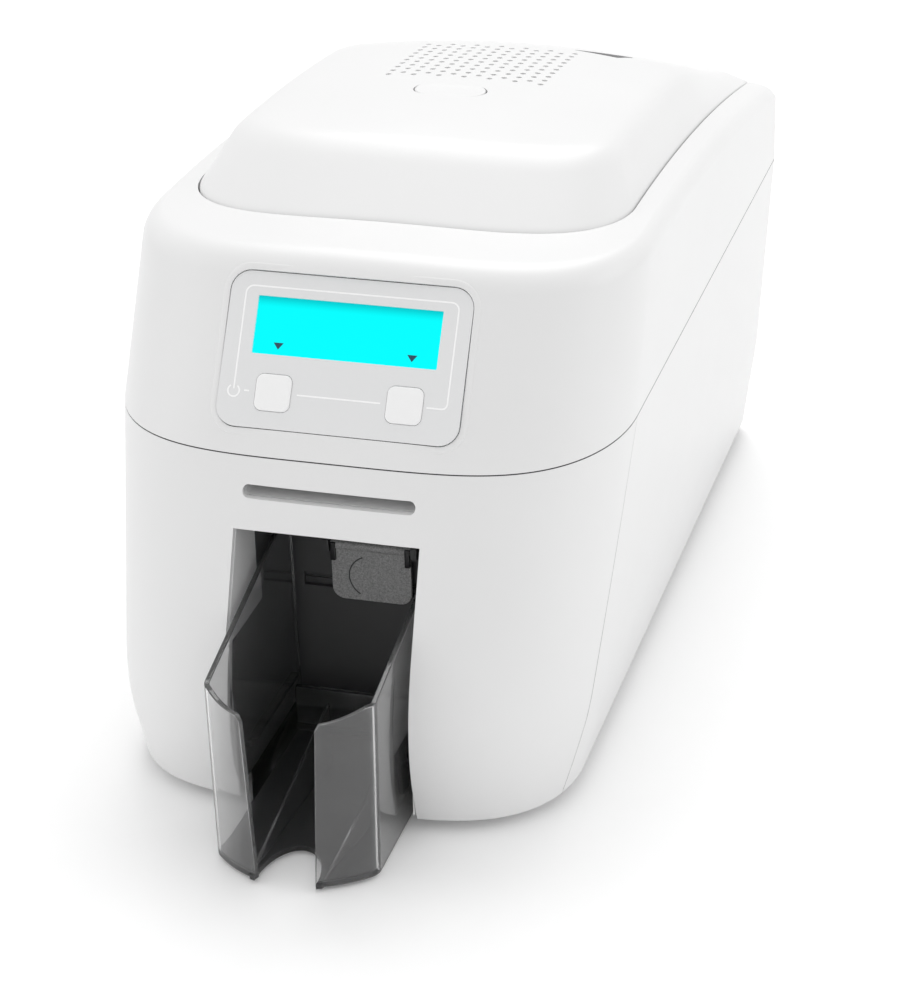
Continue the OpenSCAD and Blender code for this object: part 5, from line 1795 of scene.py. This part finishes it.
@dataclass
class ExitFlap:
    """The speckled flap that hangs before the card exit."""

    half: float = 16.6
    height: float = 24.0
    thick: float = 1.6
    pivot: tuple[float, float] = (-101.5, 84.0)
    corner: float = 5.0
    arc: float = 9.3
    arc_down: float = 13.2
    barrel: float = 2.0
    bore: float = 1.03
    ear_low: tuple[float, float, float] = (-2.2, -2.3, -6.4)
    ear_high: tuple[float, float, float] = (-0.05, -0.82, 1.4)

    def plate(self) -> bmesh.types.BMesh:
        """Makes the plate with its two round lower corners."""
        y, z = self.pivot
        low, inner = -self.height + self.corner, self.half - self.corner
        bend = circle(range(0, 91, 10))
        outline = [(self.half, 1.2)] + [(inner + self.corner * c, low - self.corner * s) for c, s in bend]
        outline += [(-inner - self.corner * s, low - self.corner * c) for c, s in bend] + [(-self.half, 1.2)]
        bm = bmesh.new()
        slab(bm, outline, self.thick, moved(0, y + self.thick / 2, z, FACING))
        return bm

    def build(self) -> None:
        """Publishes the plate, its fine arc, its barrel and its black ears."""
        y, z = self.pivot
        publish(self.plate(), "flap_plate", Paint.FLAP, "flap", "flap_grey", ["exit_flap"], bevel=0.25)
        ring = [(self.arc * c, -self.arc_down + self.arc * s) for c, s in circle(range(112, 245, 7))]
        line = bmesh.new()
        ribbon(line, ring, 0.55, 0.1, moved(0, y - self.thick / 2, z, FACING))
        publish(line, "flap_arc", Paint.LINER, "flap", "flap_grey")
        barrel = bmesh.new()
        turned(barrel, [(-self.half, self.bore), (-self.half, self.barrel), (self.half, self.barrel),
                        (self.half, self.bore), (-self.half, self.bore)], moved(0, y, z), 32)
        publish(barrel, "flap_barrel", Paint.FLAP, "flap", "flap_grey", bevel=0.15)
        ears = bmesh.new()
        for sign in (-1, 1):
            low, high = sorted(sign * (self.half + ear[0]) for ear in (self.ear_low, self.ear_high))
            block(ears, (low, y + self.ear_low[1], z + self.ear_low[2]),
                  (high, y + self.ear_high[1], z + self.ear_high[2]), 0.2)
        publish(ears, "flap_ears", Paint.BLACK, "flap", "flap_grey")


@dataclass(frozen=True)
class Roller:
    """One roller's node, body and finish."""

    node: str
    body: str
    paint: Paint
    slot: str = "roller_rubber"
    shaft: float = 3.0
    sleeve: float = 30.0


@dataclass
class PrintEngine:
    """Rollers, motor and feet, built on the CAD nodes' own boxes."""

    rollers: tuple[Roller, ...] = (
        Roller("infeed_roller", "infeed", Paint.TYRE),
        Roller("cleaning_drive_roller", "cleaning_drive", Paint.TYRE),
        Roller("platen_roller", "platen", Paint.TYRE),
        Roller("outfeed_roller", "outfeed", Paint.TYRE),
        Roller("infeed_pinch_roller", "infeed_pinch", Paint.TYRE, shaft=2.0),
        Roller("cleaning_roller", "cleaning_top", Paint.CLEANER, "cleaning_rubber", 2.0),
        Roller("outfeed_pinch_roller", "outfeed_pinch", Paint.TYRE, shaft=2.0))
    collar_gap: float = 0.4
    collar_width: float = 2.0
    collar_out: float = 1.6
    can_end: float = 41.9
    screw_circle: float = 9.5
    foot_xs: tuple[float, float] = (-70.0, 70.0)
    foot_ys: tuple[float, float] = (-105.0, 190.0)
    foot: tuple[tuple[float, float], ...] = ((0.0, 0.0), (0.0, 6.4), (0.5, 6.7), (0.5, 7.6), (0.0, 7.9),
                                             (0.0, 8.3), (0.7, 9.0), (4.3, 8.7), (5.0, 8.2), (5.0, 0.0))
    board_top: float = 15.1
    # X, Y, width, depth and height of each chip, and X and Y of each can.
    chips: tuple[tuple[float, ...], ...] = (
        (-18, 168, 18, 18, 1.6), (14, 160, 12, 8, 1.4), (14, 174, 12, 8, 1.4),
        (-36, 150, 8, 5, 1.2), (32, 150, 9, 9, 1.5), (-36, 182, 6, 8, 1.2))
    cans: tuple[tuple[float, float], ...] = ((-40, 196), (-28, 197), (12, 196), (42, 168))
    can: tuple[tuple[float, float], ...] = ((0.0, 0.0), (0.0, 3.2), (8.0, 3.2), (8.6, 2.8), (8.6, 0.0))

    def axis(self, node: str) -> tuple[float, float, float, Matrix]:
        """Reads where a turned CAD node lies, whose axis is along X.

        Args:
            node: The node's name.

        Returns:
            X of both ends, its radius and the place of its axis, in mm.
        """
        low, high = (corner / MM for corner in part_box(node))
        place = moved(0, (low.y + high.y) / 2, (low.z + high.z) / 2)
        return low.x, high.x, (high.z - low.z) / 2, place

    def roller(self, spec: Roller) -> None:
        """Publishes one roller's ground shaft, with its two collars, and its rubber sleeve.

        Args:
            spec: The roller.
        """
        left, right, r, place = self.axis(spec.node)
        thin, end = spec.shaft, spec.sleeve
        shaft = bmesh.new()
        turned(shaft, [(left, 0.0), (left, thin - 0.4), (left + 0.4, thin), (right - 0.4, thin),
                       (right, thin - 0.4), (right, 0.0)], place)
        wide, high = self.collar_width, thin + self.collar_out
        for start in (-end - self.collar_gap - wide, end + self.collar_gap):
            turned(shaft, [(start, thin), (start, high), (start + wide, high), (start + wide, thin),
                           (start, thin)], place)
        publish(shaft, f"{spec.node}_shaft", Paint.SHAFT, spec.body, "steel_shaft", [spec.node])
        sleeve = bmesh.new()
        turned(sleeve, [(-end, thin), (-end, r - 0.5), (-end + 0.5, r), (end - 0.5, r), (end, r - 0.5),
                        (end, thin), (-end, thin)], place, 64)
        publish(sleeve, f"{spec.node}_sleeve", spec.paint, spec.body, spec.slot)

    def motor(self) -> bmesh.types.BMesh:
        """Makes the drive motor's can, end bell and screws."""
        left, right, r, place = self.axis("drive_motor")
        bm = bmesh.new()
        turned(bm, [(left, 0.0), (left, 4.0), (left + 1.2, 4.4), (left + 1.2, r - 2.0), (left + 2.2, r - 1.0),
                    (left + 6.0, r - 1.0), (left + 6.0, r), (self.can_end - 0.5, r),
                    (self.can_end, r - 0.5), (self.can_end, 3.9), (right, 3.9), (right, 0.0)], place, 64)
        for c, s in circle((45, 135, 225, 315)):
            turned(bm, [(left + 0.2, 0.0), (left + 0.2, 1.2), (left + 1.3, 1.4), (left + 1.3, 0.0)],
                   place @ moved(0, self.screw_circle * c, self.screw_circle * s), 16)
        return bm

    def feet(self) -> bmesh.types.BMesh:
        """Makes the four turned rubber feet."""
        bm = bmesh.new()
        for x in self.foot_xs:
            for y in self.foot_ys:
                turned(bm, self.foot, moved(x, y, 0, UPRIGHT), 40)
        return bm

    def build(self) -> None:
        """Publishes the rollers, the motor, the feet and what is on the main board."""
        for spec in self.rollers:
            self.roller(spec)
        publish(self.motor(), "drive_motor_can", Paint.SHEET, "case", "steel_plate", ["drive_motor"])
        publish(self.feet(), "feet_turned", Paint.FOOT, "case", "foot_rubber", ["rubber_feet"])
        chips, cans, base = bmesh.new(), bmesh.new(), self.board_top
        for x, y, w, d, h in self.chips:
            block(chips, (x - w / 2, y - d / 2, base), (x + w / 2, y + d / 2, base + h), 0.15)
        publish(chips, "board_chips", Paint.BLACK, "case", "black_plastic")
        for x, y in self.cans:
            turned(cans, self.can, moved(x, y, base, UPRIGHT), 24)
        publish(cans, "board_cans", Paint.SHEET, "case", "steel_plate")


@dataclass
class CadNodes:
    """Better materials for the CAD nodes whose shape is already right."""

    paints: dict[Paint, tuple[str, ...]] = field(default_factory=lambda: {
        Paint.LINER: ("bay_liner",),
        Paint.BLACK: ("flap_pin", "power_socket"),
        Paint.DARK: ("rear_panel", "latch_hook"),
        Paint.SHEET: ("usb_socket", "network_socket", "engine_deck", "left_frame", "right_frame"),
        Paint.BOARD: ("display_board", "main_board"),
        Paint.SHAFT: ("deck_screws", "hinge_pins", "latch_pin", "latch_bar", "idler_studs"),
        Paint.HEAD: ("printhead_bracket", "printhead"),
        Paint.GEAR: ("infeed_gear", "cleaning_drive_gear", "platen_gear", "outfeed_gear", "front_idler_gear",
                     "middle_idler_gear", "rear_idler_gear", "motor_pinion"),
        Paint.SPOOL: ("supply_spool", "takeup_spool"),
        Paint.FILM: ("supply_film_roll", "takeup_film_roll")})

    def dress(self, nodes: dict[str, bpy.types.Object]) -> None:
        """Gives each node its finish.

        Args:
            nodes: The CAD nodes by name.
        """
        for paint, names in self.paints.items():
            material = paint.value.material()
            for holder in (slot for name in names for slot in nodes[name].material_slots):
                holder.material = material


# ---- Camera, floor and light --------------------------------------------------------------------
@dataclass
class Studio:
    """The camera at the photograph's angle, the pale floor and the soft lights."""

    eye: tuple[float, float, float] = (0.33784, -1.12465, 0.64517)
    azimuth: float = 16.576
    elevation: float = 26.671
    roll: float = -1.584
    lens: float = 109.94
    ambient: float = 0.82
    # Name, place, target, side in metres and power in watts of each lamp.
    lamps: tuple[tuple[str, tuple[float, ...], tuple[float, ...], float, float], ...] = (
        ("top_light", (-0.2, 1.3, 2.1), (0, 0.05, 0.1), 1.4, 20.5),
        ("right_light", (1.7, 0.3, 0.9), (0, 0, 0.1), 1.0, 4.2),
        ("left_light", (-1.5, -0.7, 1.1), (0, -0.05, 0.1), 1.2, 3.2))

    def camera(self) -> None:
        """Places the camera."""
        az, el, roll = (math.radians(a) for a in (self.azimuth, self.elevation, self.roll))
        back = Vector((math.sin(az) * math.cos(el), -math.cos(az) * math.cos(el), math.sin(el)))
        level = (-back).cross(Vector((0, 0, 1))).normalized()
        rise = level.cross(-back)
        right = level * math.cos(roll) + rise * math.sin(roll)
        up = rise * math.cos(roll) - level * math.sin(roll)
        data = bpy.data.cameras.new("camera")
        data.sensor_fit = "VERTICAL"
        data.sensor_height = 36.0
        data.lens = self.lens
        data.clip_end = 60.0
        camera = bpy.data.objects.new("camera", data)
        turn = Matrix((right, up, back)).transposed().to_4x4()
        camera.matrix_world = Matrix.Translation(self.eye) @ turn
        bpy.context.scene.collection.objects.link(camera)
        bpy.context.scene.camera = camera

    def floor(self) -> None:
        """Lays the plain white floor, which keeps the object's shadow."""
        bm = bmesh.new()
        bmesh.ops.create_grid(bm, x_segments=1, y_segments=1, size=9.0)
        mesh = bpy.data.meshes.new("floor")
        bm.to_mesh(mesh)
        bm.free()
        tree = Tree("floor_white")
        seen = tree.add("ShaderNodeLightPath", {}, {}, "Is Camera Ray")
        lift = tree.blend(seen, (0.0, 0.0, 0.0), (0.06, 0.06, 0.06))
        tree.surface(Base_Color=(0.95, 0.95, 0.95), Roughness=0.9, Specular_IOR_Level=0.1,
                     Emission_Color=lift, Emission_Strength=1.0)
        mesh.materials.append(tree.material)
        floor = bpy.data.objects.new("floor", mesh)
        bpy.context.scene.collection.objects.link(floor)

    def lamp(self, name: str, at: Sequence[float], aim: Sequence[float], size: float,
             power: float) -> None:
        """Adds one soft square lamp.

        Args:
            name: The lamp's name.
            at: Where it is.
            aim: What it points at.
            size: Its side in metres.
            power: Its power in watts.
        """
        data = bpy.data.lights.new(name, "AREA")
        data.size = size
        data.energy = power
        lamp = bpy.data.objects.new(name, data)
        lamp.location = at
        lamp.rotation_euler = (Vector(aim) - Vector(at)).to_track_quat("-Z", "Y").to_euler()
        bpy.context.scene.collection.objects.link(lamp)

    def world(self) -> None:
        """Fills the world with soft light, and with white where the camera or glass sees it."""
        world = bpy.data.worlds.new("studio")
        bpy.context.scene.world = world
        world.use_nodes = True
        nodes, links = world.node_tree.nodes, world.node_tree.links
        nodes.clear()
        path = nodes.new("ShaderNodeLightPath")
        both = nodes.new("ShaderNodeMath")
        both.operation = "MAXIMUM"
        links.new(path.outputs["Is Camera Ray"], both.inputs[0])
        links.new(path.outputs["Is Transmission Ray"], both.inputs[1])
        mix, out = nodes.new("ShaderNodeMixShader"), nodes.new("ShaderNodeOutputWorld")
        links.new(both.outputs[0], mix.inputs[0])
        for index, strength in ((1, self.ambient), (2, 1.0)):
            shade = nodes.new("ShaderNodeBackground")
            shade.inputs["Color"].default_value = (1.0, 1.0, 1.0, 1.0)
            shade.inputs["Strength"].default_value = strength
            links.new(shade.outputs[0], mix.inputs[index])
        links.new(mix.outputs[0], out.inputs["Surface"])

    def build(self) -> None:
        """Builds the whole studio."""
        self.camera()
        self.floor()
        self.world()
        for lamp in self.lamps:
            self.lamp(*lamp)
        bpy.context.scene.view_settings.view_transform = "Standard"


def main() -> None:
    """Builds the printer over its CAD frame."""
    logging.basicConfig(level=logging.INFO, format="%(message)s")
    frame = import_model()
    Studio().build()
    form, panel = CaseForm(), PanelPlace()
    lower = LowerCase(form)
    for part in (lower, FrontFascia(form), SeamShadeStrips(form, lower), UpperCover(form, panel), Lid(form),
                 DisplayPanel(form, panel), Hopper(), ExitFlap(), PrintEngine()):
        LOG.info("building %s", type(part).__name__)
        part.build()
    CadNodes().dress(frame["nodes"])


if __name__ == "__main__":
    main()
